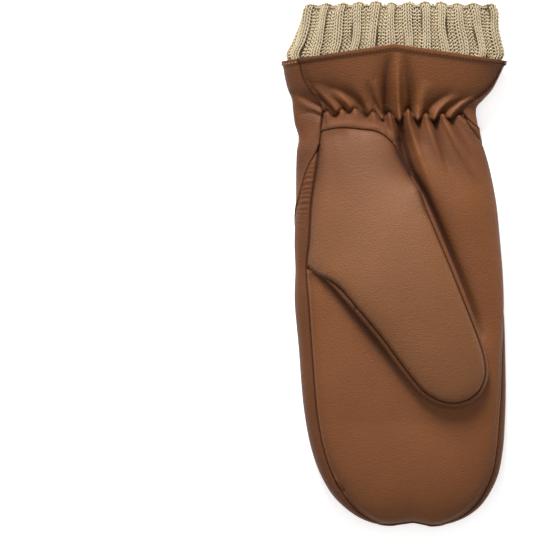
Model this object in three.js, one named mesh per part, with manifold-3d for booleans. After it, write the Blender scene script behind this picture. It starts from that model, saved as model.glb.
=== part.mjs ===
// A leather mitten for the right hand with a knitted rib cuff. It lies on its back, with the thumb
// folded over the palm. Millimetres: +X is the little finger side, +Y runs from the fingertips to
// the cuff, and +Z comes out of the palm. The table is at z = 0.
import * as THREE from 'three';
import { mergeVertices } from 'three/addons/utils/BufferGeometryUtils.js';
import Module from 'manifold-3d';

const wasm = await Module();
wasm.setup();

// Driving dimensions

const LEATHER = 2; // thickness of every leather wall
const SEAM_GAP = 0.3; // gap between two pieces that are sewn together
const PALM_ROUND = 2.6; // power of the palm's superellipse: 2 is an ellipse, more is squarer
const BACK_ROUND = 4; // the same for the back, which lies on the table
const PRESSED_FLAT = 0.5; // depth of the back that the table presses flat
const GROOVE_DEPTH = 1.6; // depth of the valley along each seam
const GROOVE_WIDTH = 3; // half width of that valley
const GROOVE_START = 22; // distance from the hem at which it has its full depth
const GUSSET_LEAST = 1.5; // width at which a gusset runs out to its point
const GUSSET_POINT = 0.1; // width of the point itself
const HEM_FOLD = 4; // height of the folded hem
const HEM_SWELL = 0.6; // extra thickness of the folded hem
const KNUCKLE_CENTRE = { x: 4.4, y: -86 }; // centre of the rounded fingertip end

const THUMB_SEAM_INSET = 2.3; // how far the underside rolls up over the thumb's edge
const THUMB_CLEARANCE = 0.6; // gap between the thumb's underside and the palm that it lies on
const THUMB_ROUND = 2.1; // power of the thumb's superellipse
const THUMB_BASE_ROUND = 1.6; // the same where the thumb grows out of the palm
const THUMB_AXIS = [
  { x: -20, y: 42, crest: 35.5 }, // middle of the thumb's base
  { x: 29.5, y: -57.5, crest: 38 }, // middle of its rounded tip
];
const THUMB_CREST_BOW = 2.5; // how much higher the thumb is halfway along than at its ends
const THUMB_HOLE_REACH = 0.3; // where the thumb hole ends, as a share of the thumb's axis

const KNIT = 2.2; // thickness of the knitted wall
const RIB_COUNT = 28; // ribs round the cuff
const RIB_DEPTH = 0.7; // height of a rib over the wall's middle line

// Sections across the hand, from the hem to the knuckles
// y is where a section meets the outline and midY where it crosses the middle of the palm, left and
// right are the outline, crest is the height of the palm and widest the height of the outline.
// The seams are measured in from the outline, and below it where they are negative: palmL and palmR
// are the palm's edges, backL and backR those of the back. Where they are equal there is no gusset.
const SECTIONS = [
  { y: 108.2, midY: 117.2, left: -61.6, right: 58.2, crest: 21, widest: 9.5, palmL: 8.5, palmR: 1, backL: 8.5, backR: 1 },
  { y: 100, midY: 106.5, left: -60.4, right: 54.4, crest: 21, widest: 9.5, palmL: 9.1, palmR: 1, backL: 9.1, backR: 1 },
  { y: 93, midY: 97, left: -58.6, right: 50.7, crest: 21, widest: 9.5, palmL: 11, palmR: 1.5, backL: 11, backR: 1.5 },
  { y: 88, midY: 90, left: -56.5, right: 46.3, crest: 20.5, widest: 9.5, palmL: 13.2, palmR: 3, backL: 13.2, backR: 3 },
  { y: 83, midY: 83.5, left: -56, right: 42.2, crest: 20, widest: 9.5, palmL: 15.2, palmR: 6, backL: 15.2, backR: 6 },
  { y: 75, midY: 75, left: -55, right: 42.8, crest: 21.5, widest: 10, palmL: 13.8, palmR: 5, backL: 13.8, backR: 2 },
  { y: 67.4, midY: 67.4, left: -52.9, right: 44.4, crest: 23.5, widest: 10.5, palmL: 10.8, palmR: 0.6, backL: 10.8, backR: -2 },
  { y: 60, midY: 60, left: -53.9, right: 46.7, crest: 25, widest: 11, palmL: 11.2, palmR: -0.8, backL: 9.5, backR: -4 },
  { y: 50, midY: 50, left: -54.3, right: 49.5, crest: 26, widest: 11, palmL: 10.3, palmR: -1.2, backL: 5, backR: -6 },
  { y: 32, midY: 32, left: -54.4, right: 52.9, crest: 27, widest: 11, palmL: 7.7, palmR: -1.5, backL: 0.5, backR: -7 },
  { y: 10, midY: 10, left: -54.7, right: 55.1, crest: 27, widest: 11, palmL: 6.7, palmR: -1, backL: -4, backR: -7 },
  { y: -3, midY: -3, left: -54.2, right: 56.2, crest: 27, widest: 11, palmL: 4.9, palmR: -0.5, backL: -5, backR: -7 },
  { y: -20, midY: -20, left: -54.6, right: 57, crest: 27, widest: 11, palmL: 6.6, palmR: -0.1, backL: -5.5, backR: -7 },
  { y: -46, midY: -46, left: -52.3, right: 57.3, crest: 26.5, widest: 11, palmL: 6.1, palmR: 0.5, backL: -5.5, backR: -7 },
  { y: -70, midY: -70, left: -50.5, right: 57.5, crest: 26, widest: 10.5, palmL: 6.1, palmR: 1.5, backL: -5.5, backR: -7 },
  { y: -86, midY: -86, left: -48.4, right: 57, crest: 25, widest: 10, palmL: 5.8, palmR: 2.2, backL: -5.5, backR: -7 },
];

// The fingertip end, in rays from the knuckle centre. The angle in degrees runs from the thumb side
// (180) through the fingertips (270) to the little finger side (360). Both gussets end in a point
// beside the dip in the middle: width is the share of their width that is left.
const FINGERTIP = [
  { angle: 195, reach: 51.7, palm: 5.5, back: -5.5, width: 1 },
  { angle: 210, reach: 52.4, palm: 5, back: -5.5, width: 1 },
  { angle: 225, reach: 54.1, palm: 4.2, back: -5, width: 1 },
  { angle: 240, reach: 55.2, palm: 2.2, back: -5, width: 0.9 },
  { angle: 255, reach: 55.3, palm: 1.4, back: -4, width: 0.4 },
  { angle: 270, reach: 53.6, palm: 1, back: -4, width: 0 },
  { angle: 283, reach: 55.2, palm: 1, back: -4, width: 0 },
  { angle: 292.5, reach: 57.8, palm: 1.2, back: -5, width: 0.35 },
  { angle: 304, reach: 58.9, palm: 1.4, back: -6, width: 0.8 },
  { angle: 315, reach: 58.6, palm: 1.8, back: -6, width: 1 },
  { angle: 330, reach: 56.2, palm: 2.3, back: -7, width: 1 },
  { angle: 345, reach: 53.4, palm: 2.4, back: -7, width: 1 },
];
const FINGERTIP_WIDEST = 10; // height of the outline round the fingertips

// Folds of the gathered wrist, each from where it starts at the elastic over a bend to where it
// fades out. lift is its height, negative for a valley, and spread its half width.
const FOLDS = [
  { from: [1.3, 77.3], bend: [-1.9, 93.9], to: [0.8, 116], lift: 2.4, spread: 2.8 },
  { from: [10.2, 76.8], bend: [7.2, 87.5], to: [9.9, 103.5], lift: 1.5, spread: 3.2 },
  { from: [19, 77.3], bend: [21.1, 85.3], to: [34.5, 89.6], lift: 2, spread: 2.4 },
  { from: [27.6, 77.8], bend: [32.9, 84.3], to: [46.3, 89.1], lift: 1.8, spread: 1.9 },
  { from: [-7.8, 77], bend: [-10.4, 85.9], to: [-13.6, 99.2], lift: 2, spread: 2.8 },
  { from: [-16.9, 78.4], bend: [-20.1, 85.3], to: [-28.1, 98.2], lift: 1.6, spread: 3 },
  { from: [-24.6, 81.3], bend: [-28.6, 88], to: [-40.4, 93.4], lift: 1.8, spread: 1.9 },
  { from: [-32.9, 80], bend: [-35.6, 85.3], to: [-42.5, 90.7], lift: 1.5, spread: 1.8 },
  { from: [-1.6, 79.1], bend: [-8.3, 93.9], to: [-4.5, 112.6], lift: -2, spread: 2.4 },
  { from: [8.3, 79.4], bend: [3.5, 95.5], to: [4, 112.6], lift: -1.6, spread: 2 },
  { from: [-20.6, 82.7], bend: [-27.6, 91.8], to: [-40.4, 96], lift: -2.2, spread: 2.4 },
  { from: [14.4, 80], bend: [16.3, 89.1], to: [27, 92.8], lift: -1.8, spread: 2.2 },
  { from: [24.6, 81.1], bend: [29.2, 87.5], to: [39.9, 90.7], lift: -1.6, spread: 1.8 },
  { from: [5.3, 80.5], bend: [4.6, 58], to: [22.2, 36], lift: 2.4, spread: 2.9 },
  { from: [14.7, 80], bend: [15, 71], to: [19, 58], lift: 1.8, spread: 2.7 },
  { from: [24.1, 80], bend: [26.5, 70], to: [36, 58], lift: 2, spread: 2.6 },
  { from: [32.7, 78.9], bend: [36.6, 72.5], to: [42, 64], lift: 1.6, spread: 2.2 },
  { from: [-13.6, 82.1], bend: [-13.2, 78], to: [-12.5, 73], lift: 1.5, spread: 2.6 },
  { from: [-22.2, 82.1], bend: [-22.4, 78], to: [-22, 74], lift: 1.5, spread: 2.6 },
  { from: [-31, 82.5], bend: [-31, 79], to: [-31, 75], lift: 1.2, spread: 2.4 },
  { from: [1.3, 76], bend: [1.5, 60], to: [20.1, 20.6], lift: -2.6, spread: 2.6 },
];

// The thumb's outline, seen from above: pairs of points on its right and left edge that face the
// same point of its axis, given as a share of the axis, and then the points round its tip.
const THUMB_EDGES = [
  { along: 0, right: [7, 47.5], left: [-46.6, -3.6] },
  { along: 0.15, right: [13.5, 36.5], left: [-37.5, -9.6] },
  { along: 0.3, right: [19.5, 23.5], left: [-28, -20] },
  { along: 0.45, right: [25.5, 9.2], left: [-19, -30.5] },
  { along: 0.6, right: [31.5, -5.3], left: [-10, -41.5] },
  { along: 0.75, right: [38, -22], left: [-2, -52.5] },
  { along: 0.9, right: [43.9, -38.5], left: [6, -63] },
  { along: 1, right: [47.3, -50.5], left: [11.5, -69.2] },
];
const THUMB_TIP = [
  [48.2, -60],
  [44.8, -69],
  [38.5, -74.3],
  [30.5, -76.7],
  [22, -75.5],
  [16.5, -72.8],
];
// Height of the thumb's sewn edge over the palm, along its axis
const THUMB_LIFT = [
  { along: 0, lift: 1 },
  { along: 0.06, lift: 5.2 },
  { along: 0.2, lift: 6.8 },
  { along: 1, lift: 7 },
];
// The seam over the thumb, from the thumb side to where its free edge starts
const THUMB_TOP_SEAM = [
  [-41.6, 70.4],
  [-34, 72],
  [-27.6, 72.3],
  [-19, 71.6],
  [-11.5, 70.4],
  [-5.5, 67],
  [-0.8, 61.3],
  [2.9, 54.5],
  [7, 47.5],
];

// Sections of the knitted cuff, from inside the hem to its mouth
const KNIT_SECTIONS = [
  { y: 101, left: -57, right: 51, top: 17, bottom: 2.5 },
  { y: 108.5, left: -58.4, right: 55, top: 17.4, bottom: 2.5 },
  { y: 118, left: -55.3, right: 56, top: 17.6, bottom: 2.3 },
  { y: 127, left: -52.9, right: 54.3, top: 17.4, bottom: 1.2 },
  { y: 134.5, left: -51.6, right: 54.1, top: 17, bottom: 0.4 },
  { y: 139.6, left: -49.4, right: 52.9, top: 16, bottom: 0.2 },
];

// Steps of the meshes
const ROW_BANDS = [
  { from: 108.2, to: 100, steps: 2 },
  { from: 100, to: 90, steps: 3 },
  { from: 90, to: 70, steps: 7 },
  { from: 70, to: 60, steps: 4 },
  { from: 60, to: -86, steps: 10 },
];
const FINGERTIP_STEPS = 22;
const PALM_STEPS = 13;
const BACK_STEPS = 7;
const BACK_CROWDING = 1.8; // the back's steps are finer towards its rounded edge
const GUSSET_STEPS = 3;
const THUMB_STEPS = 5;
const SECTION_POINTS = 90; // points of a whole cross-section, on each half of it

// Small helpers

const mix = (a, b, t) => a + (b - a) * t;
const clamp01 = (t) => Math.min(1, Math.max(0, t));
const smoothstep = (t) => clamp01(t) ** 2 * (3 - 2 * clamp01(t));
const bell = (distance, width) => Math.exp(-((distance / width) ** 2));

// Smooth curve through rows at the places "at", read at the place t: a cubic with the slope of the
// neighbouring rows at each row.
function curve(at, values, t) {
  const last = at.length - 1;
  let i = 0;
  while (i < last - 1 && t > at[i + 1]) {
    i += 1;
  }
  const slope = (k) => {
    const a = Math.max(k - 1, 0);
    const b = Math.min(k + 1, last);
    return (values[b] - values[a]) / (at[b] - at[a]);
  };
  const span = at[i + 1] - at[i];
  const s = clamp01((t - at[i]) / span);
  const start = values[i] * (1 + 2 * s) * (1 - s) ** 2 + span * slope(i) * s * (1 - s) ** 2;
  const end = values[i + 1] * s * s * (3 - 2 * s) - span * slope(i + 1) * s * s * (1 - s);
  return start + end;
}

// Running length along a list of points
function lengths(points) {
  const at = [0];
  for (let i = 1; i < points.length; i += 1) {
    at.push(at[i - 1] + Math.hypot(points[i][0] - points[i - 1][0], points[i][1] - points[i - 1][1]));
  }
  return at;
}

// Place on a line of numbers that rises or falls, as an index with a fraction
function placeOf(values, value) {
  const rising = values[values.length - 1] > values[0];
  for (let i = 1; i < values.length; i += 1) {
    if (rising ? values[i] >= value : values[i] <= value) {
      return i - 1 + clamp01((value - values[i - 1]) / (values[i] - values[i - 1] || 1));
    }
  }
  return values.length - 1;
}

// A closed skin from two grids of the same size, outside and inside: the points [i][j] of each grid
// join to quads, and the open borders are closed by an edge strip. The rows may close to a ring.
function skin(outside, inside, { ring = false } = {}) {
  const rows = outside.length;
  const end = outside[0].length - 1;
  const positions = [];
  const quad = (a, b, c, d) => positions.push(...a, ...b, ...c, ...a, ...c, ...d);
  // An edge strip has the same diagonal from both of its sides.
  const strip = (a, b, c, d) => {
    if (a[0] + a[1] < b[0] + b[1]) {
      quad(a, b, c, d);
    } else {
      quad(b, c, d, a);
    }
  };
  for (let i = 0; i < (ring ? rows : rows - 1); i += 1) {
    const next = (i + 1) % rows;
    for (let j = 0; j < end; j += 1) {
      quad(outside[i][j], outside[next][j], outside[next][j + 1], outside[i][j + 1]);
      quad(inside[i][j], inside[i][j + 1], inside[next][j + 1], inside[next][j]);
    }
    strip(outside[next][0], outside[i][0], inside[i][0], inside[next][0]);
    strip(outside[i][end], outside[next][end], inside[next][end], inside[i][end]);
  }
  if (!ring) {
    const last = rows - 1;
    for (let j = 0; j < end; j += 1) {
      strip(outside[0][j], outside[0][j + 1], inside[0][j + 1], inside[0][j]);
      strip(outside[last][j + 1], outside[last][j], inside[last][j], inside[last][j + 1]);
    }
  }
  return weld(positions);
}

// Merge equal points, and drop triangles without area and pairs of faces that lie on each other,
// which is how two halves of a skin that meet along an edge become one. The faces point outwards.
function weld(positions) {
  const soup = new THREE.BufferGeometry();
  soup.setAttribute('position', new THREE.Float32BufferAttribute(positions, 3));
  const merged = mergeVertices(soup, 1e-3);
  const point = merged.getAttribute('position');
  const index = merged.getIndex().array;
  const faces = new Map();
  for (let i = 0; i < index.length; i += 3) {
    const face = [index[i], index[i + 1], index[i + 2]];
    const key = [...face].sort((a, b) => a - b).join(' ');
    if (new Set(face).size < 3) {
      continue;
    }
    if (faces.has(key)) {
      faces.delete(key);
    } else {
      faces.set(key, face);
    }
  }
  const corner = (k) => new THREE.Vector3().fromBufferAttribute(point, k);
  let volume = 0;
  for (const [a, b, c] of faces.values()) {
    volume += corner(a).dot(corner(b).cross(corner(c)));
  }
  merged.setIndex([...faces.values()].flatMap(([a, b, c]) => (volume > 0 ? [a, b, c] : [a, c, b])));
  return merged;
}

// The hand's cross-sections

const LAST_ROW = SECTIONS.length - 1;
const LAST_STATION = 2 * LAST_ROW + FINGERTIP.length + 1;

// Stations run from the left end of the hem round the fingertips to its right end.
function outlineStations() {
  const left = SECTIONS.map((s) => ({ ...s, x: s.left, palm: s.palmL, back: s.backL, width: 1 }));
  const right = SECTIONS.map((s) => ({ ...s, x: s.right, palm: s.palmR, back: s.backR, width: 1 }));
  const tip = FINGERTIP.map((ray) => {
    const angle = THREE.MathUtils.degToRad(ray.angle);
    return {
      x: KNUCKLE_CENTRE.x + ray.reach * Math.cos(angle),
      y: KNUCKLE_CENTRE.y + ray.reach * Math.sin(angle),
      widest: FINGERTIP_WIDEST,
      palm: ray.palm,
      back: ray.back,
      width: ray.width,
    };
  });
  return [...left, ...tip, ...right.reverse()];
}

const STATIONS = outlineStations();
const STATION_AT = lengths(STATIONS.map((s) => [s.x, s.y]));
const ROW_AT = SECTIONS.map((s, i) => i);

// The row of a station: the stations of both sides share their row's middle point.
function rowOf(station) {
  return Math.min(station, LAST_STATION - station, LAST_ROW);
}

function middleOf(row) {
  const read = (key) => curve(ROW_AT, SECTIONS.map(key), row);
  return {
    x: read((s) => (s.left + s.right) / 2),
    y: read((s) => s.midY),
    crest: read((s) => s.crest),
  };
}

function edgeOf(station) {
  const i = Math.min(Math.floor(station), STATIONS.length - 2);
  const at = mix(STATION_AT[i], STATION_AT[i + 1], station - i);
  const edge = {};
  for (const key of ['x', 'y', 'widest', 'palm', 'back', 'width']) {
    edge[key] = curve(STATION_AT, STATIONS.map((s) => s[key]), at);
  }
  edge.back = Math.min(edge.back, edge.palm);
  return edge;
}

// Height of the folds at a place on the palm
const foldLines = FOLDS.map((fold) => {
  const line = new THREE.QuadraticBezierCurve(
    new THREE.Vector2(...fold.from),
    new THREE.Vector2(...fold.bend),
    new THREE.Vector2(...fold.to),
  );
  return { ...fold, points: line.getPoints(16) };
});

function foldHeight(x, y) {
  let height = 0;
  for (const fold of foldLines) {
    let nearest = Infinity;
    let along = 0;
    fold.points.forEach((point, i) => {
      const distance = Math.hypot(point.x - x, point.y - y);
      if (distance < nearest) {
        nearest = distance;
        along = i / (fold.points.length - 1);
      }
    });
    height += fold.lift * bell(nearest, fold.spread) * (1 - along ** 1.5);
  }
  return height;
}

// One half of a cross-section in its own plane, from the middle of the back (first point) round the
// outline to the middle of the palm (last point), with its outside and inside.
function crossSection(station) {
  const row = rowOf(station);
  const middle = middleOf(row);
  const edge = edgeOf(station);
  const reach = Math.hypot(edge.x - middle.x, edge.y - middle.y);
  const along = { x: (edge.x - middle.x) / reach, y: (edge.y - middle.y) / reach };
  const fromHem = SECTIONS[0].y - curve(ROW_AT, SECTIONS.map((s) => s.y), row);
  const swell = HEM_SWELL * (1 - smoothstep(fromHem - HEM_FOLD + 1));
  const groove = GROOVE_DEPTH * smoothstep(fromHem / GROOVE_START);

  const profile = (inward) => {
    const line = [];
    for (let k = -SECTION_POINTS; k <= SECTION_POINTS; k += 1) {
      const turn = (Math.PI / 2) * smoothstep(Math.abs(k) / SECTION_POINTS);
      const power = 2 / (k < 0 ? BACK_ROUND : PALM_ROUND);
      const out = (reach - inward) * Math.abs(Math.cos(turn)) ** power;
      const lift = Math.sin(turn) ** power;
      const drop = Math.max(0, edge.widest * (1 - lift) - PRESSED_FLAT * lift);
      const back = mix(Math.max(inward, 0), edge.widest, drop / edge.widest);
      const palm = mix(edge.widest, middle.crest - inward, lift);
      line.push([k === SECTION_POINTS || k === -SECTION_POINTS ? 0 : out, k < 0 ? back : palm]);
    }
    return line;
  };
  const outside = profile(-swell);
  const inside = profile(LEATHER);
  const arc = lengths(outside);

  const insets = outside.map(([out]) => reach - out);
  const arcAtInset = (inset) => {
    const half = inset >= 0 ? insets.slice(SECTION_POINTS) : insets.slice(0, SECTION_POINTS + 1).reverse();
    const steps = placeOf(half, Math.abs(inset));
    const place = SECTION_POINTS + (inset >= 0 ? steps : -steps);
    return curve(arc.map((_, i) => i), arc, place);
  };
  const widestArc = arc[SECTION_POINTS];
  const width = clamp01(edge.width);
  let palmSeam = mix(widestArc, arcAtInset(edge.palm), width);
  let backSeam = mix(widestArc, arcAtInset(edge.back), width);
  const hasGusset = palmSeam - backSeam > GUSSET_LEAST;
  if (!hasGusset) {
    palmSeam = (palmSeam + backSeam) / 2;
    backSeam = palmSeam;
  }

  // Sink both surfaces along the seams.
  const sunk = outside.map(([out, z], i) => {
    const before = outside[Math.max(i - 1, 0)];
    const after = outside[Math.min(i + 1, outside.length - 1)];
    const run = Math.hypot(after[0] - before[0], after[1] - before[1]) || 1;
    const near = Math.min(Math.abs(arc[i] - palmSeam), Math.abs(arc[i] - backSeam));
    const depth = groove * bell(near, GROOVE_WIDTH) * smoothstep(z / 4);
    return [(-depth * (after[1] - before[1])) / run, (depth * (after[0] - before[0])) / run];
  });
  const place = ([out, z], shift, fold) => [
    middle.x + along.x * (out + shift[0]),
    middle.y + along.y * (out + shift[0]),
    z + shift[1] + fold,
  ];
  const folds = outside.map(([out, z], i) => {
    const top = clamp01((2.5 * (z - edge.widest)) / (middle.crest - edge.widest));
    if (i < SECTION_POINTS || top === 0) {
      return 0;
    }
    return top * foldHeight(middle.x + along.x * out, middle.y + along.y * out);
  });
  return {
    arc,
    palmSeam,
    backSeam,
    hasGusset,
    outside: outside.map((point, i) => place(point, sunk[i], folds[i])),
    inside: inside.map((point, i) => place(point, sunk[i], folds[i])),
  };
}

// Points of one surface of a section between two places on its outside. They lie closer towards the
// end where the crowding is over 1.
function stretch(section, side, from, to, steps, crowding = 1) {
  const points = [];
  for (let j = 0; j <= steps; j += 1) {
    const share = 1 - (1 - j / steps) ** crowding;
    const place = placeOf(section.arc, mix(from, to, share));
    const i = Math.min(Math.floor(place), section.arc.length - 2);
    const a = section[side][i];
    const b = section[side][i + 1];
    points.push(a.map((value, axis) => mix(value, b[axis], place - i)));
  }
  return points;
}

// Every station at which the body's panels have a row of points
function stationSteps() {
  const ys = [SECTIONS[0].y];
  for (const band of ROW_BANDS) {
    for (let i = 1; i <= band.steps; i += 1) {
      ys.push(mix(band.from, band.to, i / band.steps));
    }
  }
  const rows = ys.map((y) => placeOf(SECTIONS.map((s) => s.y), y));
  const tip = [];
  for (let i = 1; i < FINGERTIP_STEPS; i += 1) {
    tip.push(LAST_ROW + ((LAST_STATION - 2 * LAST_ROW) * i) / FINGERTIP_STEPS);
  }
  return [...rows, ...tip, ...rows.map((row) => LAST_STATION - row).reverse()];
}

const BODY = stationSteps().map((station) => ({ station, ...crossSection(station) }));

function panel(sections, from, to, steps, crowding) {
  const grid = (side) => sections.map((s) => stretch(s, side, from(s), to(s), steps, crowding));
  return skin(grid('outside'), grid('inside'));
}

// Solids for joining and cutting

function toSolid(geometry) {
  const vertProperties = new Float32Array(geometry.getAttribute('position').array);
  const triVerts = new Uint32Array(geometry.getIndex().array);
  return new wasm.Manifold(new wasm.Mesh({ numProp: 3, vertProperties, triVerts }));
}

function toGeometry(solid) {
  const mesh = solid.getMesh();
  const geometry = new THREE.BufferGeometry();
  geometry.setAttribute('position', new THREE.Float32BufferAttribute(mesh.vertProperties, 3));
  geometry.setIndex([...mesh.triVerts]);
  return geometry;
}

// A prism over an outline that is seen from above
function prism(outline, bottom, top) {
  const shape = new THREE.Shape(outline.map(([x, y]) => new THREE.Vector2(x, y)));
  const geometry = new THREE.ExtrudeGeometry(shape, { depth: top - bottom, bevelEnabled: false });
  geometry.translate(0, 0, bottom);
  geometry.deleteAttribute('normal');
  geometry.deleteAttribute('uv');
  return toSolid(mergeVertices(geometry, 1e-3));
}

// Thumb

// Height of the palm's outside at a place beside or below the thumb
function palmHeight(x, y) {
  const row = placeOf(SECTIONS.map((s) => s.y), y);
  const middle = middleOf(row);
  const station = x < middle.x ? row : LAST_STATION - row;
  const edge = edgeOf(station);
  const share = clamp01(Math.abs(x - middle.x) / Math.abs(edge.x - middle.x));
  const lift = (1 - share ** PALM_ROUND) ** (1 / PALM_ROUND);
  const top = clamp01(2.5 * lift);
  return mix(edge.widest, middle.crest, lift) + top * foldHeight(x, y);
}

function thumbAxis(along) {
  const [base, tip] = THUMB_AXIS;
  const bow = THUMB_CREST_BOW * Math.sin(Math.PI * along);
  return [mix(base.x, tip.x, along), mix(base.y, tip.y, along), mix(base.crest, tip.crest, along) + bow];
}

// The free edge, from where it leaves the seam over the thumb round the tip to the crotch
function thumbFreeEdge() {
  const points = [
    ...THUMB_EDGES.map((row) => ({ point: row.right, along: row.along })),
    ...THUMB_TIP.map((point) => ({ point, along: 1 })),
    ...[...THUMB_EDGES].reverse().map((row) => ({ point: row.left, along: row.along })),
  ];
  const at = lengths(points.map((p) => p.point));
  const read = (axis, t) => curve(at, points.map((p) => p.point[axis]), t);
  const total = at[at.length - 1];
  return points.flatMap((p, i) => {
    const stops = i + 1 < points.length ? [0, 0.5] : [0];
    return stops.map((stop) => {
      const t = stop ? mix(at[i], at[i + 1], stop) : at[i];
      const along = stop ? mix(p.along, points[i + 1].along, stop) : p.along;
      const before = [read(0, Math.max(t - 0.5, 0)), read(1, Math.max(t - 0.5, 0))];
      const after = [read(0, Math.min(t + 0.5, total)), read(1, Math.min(t + 0.5, total))];
      const run = Math.hypot(after[0] - before[0], after[1] - before[1]);
      const inward = [(after[1] - before[1]) / run, -(after[0] - before[0]) / run];
      return { x: read(0, t), y: read(1, t), along, inward };
    });
  });
}

const FREE_EDGE = thumbFreeEdge();

function thumbLift(along) {
  return curve(THUMB_LIFT.map((s) => s.along), THUMB_LIFT.map((s) => s.lift), along);
}

// How far the seam lies in from the thumb's free edge: nothing at its two ends
function thumbInset(along) {
  return THUMB_SEAM_INSET * smoothstep(along / 0.12);
}

// Inner end of the underside: on the border of the thumb hole, and past it on the thumb's axis
function undersideEnd(edge, isRight) {
  if (edge.along >= THUMB_HOLE_REACH) {
    return thumbAxis(edge.along).slice(0, 2);
  }
  const t = edge.along / THUMB_HOLE_REACH;
  const start = isRight ? THUMB_EDGES[0].right : THUMB_EDGES[0].left;
  const end = thumbAxis(THUMB_HOLE_REACH);
  return [mix(start[0], end[0], t), mix(start[1], end[1], t)];
}

// The rim of the front panel, as pairs of an outside and an inside point: the free edge, the side
// seam, and the seam over the thumb.
function thumbFrontRim() {
  const rim = [];
  for (const edge of FREE_EDGE) {
    const inset = thumbInset(edge.along) + SEAM_GAP / 2;
    const x = edge.x + edge.inward[0] * inset;
    const y = edge.y + edge.inward[1] * inset;
    const z = palmHeight(edge.x, edge.y) + thumbLift(edge.along);
    const round = mix(THUMB_BASE_ROUND, THUMB_ROUND, smoothstep(edge.along / THUMB_HOLE_REACH));
    rim.push({ outside: [x, y, z], inside: [x, y, z - LEATHER], along: edge.along, round });
  }
  const sideTop = THUMB_TOP_SEAM[0][1] - SEAM_GAP / 2;
  const sideBottom = THUMB_EDGES[0].left[1] + 2;
  const side = BODY.filter((s) => s.station < LAST_ROW).reverse();
  for (const section of side) {
    const [outside] = stretch(section, 'outside', section.palmSeam + SEAM_GAP / 2, section.palmSeam + 1, 1);
    const [inside] = stretch(section, 'inside', section.palmSeam + SEAM_GAP / 2, section.palmSeam + 1, 1);
    if (outside[1] > sideBottom && outside[1] < sideTop) {
      rim.push({ outside, inside, along: 0, round: THUMB_BASE_ROUND });
    }
  }
  const seam = THUMB_TOP_SEAM.slice(1, -1).map((point) => new THREE.Vector2(...point));
  seam.forEach((point, i) => {
    const before = seam[Math.max(i - 1, 0)];
    const after = seam[Math.min(i + 1, seam.length - 1)];
    const run = after.clone().sub(before).normalize();
    const x = point.x + run.y * SEAM_GAP;
    const y = point.y - run.x * SEAM_GAP;
    const z = palmHeight(x, y) - GROOVE_DEPTH / 2;
    rim.push({ outside: [x, y, z], inside: [x, y, z - LEATHER], along: 0, round: THUMB_BASE_ROUND });
  });
  return rim;
}

function thumbFrontGeometry() {
  const rim = thumbFrontRim();
  const grid = (side, drop) => rim.map((place) => {
    const [x, y, crest] = thumbAxis(place.along);
    const start = place[side];
    const points = [];
    for (let j = 0; j <= THUMB_STEPS; j += 1) {
      const share = (j / THUMB_STEPS) ** 1.5;
      const rise = (1 - (1 - share) ** place.round) ** (1 / place.round);
      points.push([mix(start[0], x, share), mix(start[1], y, share), mix(start[2], crest - drop, rise)]);
    }
    return points;
  });
  return skin(grid('outside', 0), grid('inside', LEATHER), { ring: true });
}

// One section of the underside: from the seam out over the rolled edge, down, and in over the palm.
// Each step has its distance in from the edge for the roll and the flat, and its height share.
function undersideRow(edge, isRight, wall) {
  const end = undersideEnd(edge, isRight);
  const across = Math.hypot(end[0] - edge.x, end[1] - edge.y);
  const inward = [(end[0] - edge.x) / across, (end[1] - edge.y) / across];
  const inset = Math.max(thumbInset(edge.along) - SEAM_GAP / 2, 0.2);
  const floor = (x, y) => palmHeight(x, y) + THUMB_CLEARANCE + wall;
  const seamHeight = palmHeight(edge.x, edge.y) + thumbLift(edge.along) - wall;
  const widest = mix(floor(edge.x, edge.y), seamHeight, 0.5);
  const points = [];
  for (const turn of [0, 0.4, 1]) {
    const out = Math.min(wall, inset) + (inset - Math.min(wall, inset)) * (1 - Math.sin((turn * Math.PI) / 2));
    const z = mix(widest, seamHeight, Math.cos((turn * Math.PI) / 2));
    points.push([edge.x + edge.inward[0] * out, edge.y + edge.inward[1] * out, z]);
  }
  const roll = Math.min(7, across);
  for (const turn of [0.4, 1]) {
    const out = wall + (roll - wall) * (1 - Math.cos((turn * Math.PI) / 2));
    const x = edge.x + inward[0] * out;
    const y = edge.y + inward[1] * out;
    points.push([x, y, mix(widest, floor(x, y), Math.sin((turn * Math.PI) / 2))]);
  }
  for (const share of [0.5, 1]) {
    const out = mix(roll, across, share);
    const x = edge.x + inward[0] * out;
    const y = edge.y + inward[1] * out;
    points.push([x, y, floor(x, y)]);
  }
  return points;
}

function thumbUndersideGeometry() {
  const tipStart = FREE_EDGE.findIndex((edge) => edge.along === 1);
  const edges = FREE_EDGE.slice(1, -1);
  const grid = (wall) => edges.map((edge) => undersideRow(edge, FREE_EDGE.indexOf(edge) <= tipStart, wall));
  return skin(grid(0), grid(LEATHER));
}

// The hole in the palm that the thumb's hollow opens into
function thumbHole() {
  const end = thumbAxis(THUMB_HOLE_REACH);
  const outside = SECTIONS[0].left - 10;
  const seamStart = THUMB_TOP_SEAM[0];
  const nick = (edge, next) => {
    const x = mix(edge.x, next.x, 0.5) - edge.inward[0] * SEAM_GAP;
    const y = mix(edge.y, next.y, 0.5) - edge.inward[1] * SEAM_GAP;
    return [x, y];
  };
  const last = FREE_EDGE.length - 1;
  return prism([
    [outside, seamStart[1]],
    [outside, THUMB_EDGES[0].left[1]],
    THUMB_EDGES[0].left,
    nick(FREE_EDGE[last], FREE_EDGE[last - 1]),
    [end[0], end[1]],
    nick(FREE_EDGE[0], FREE_EDGE[1]),
    ...[...THUMB_TOP_SEAM].reverse(),
  ], -5, 60);
}

// Sub-parts

const half = SEAM_GAP / 2;

function palmPanelGeometry() {
  const whole = panel(BODY, (s) => s.palmSeam + half, (s) => s.arc[s.arc.length - 1], PALM_STEPS);
  return toGeometry(toSolid(whole).subtract(thumbHole()));
}

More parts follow.
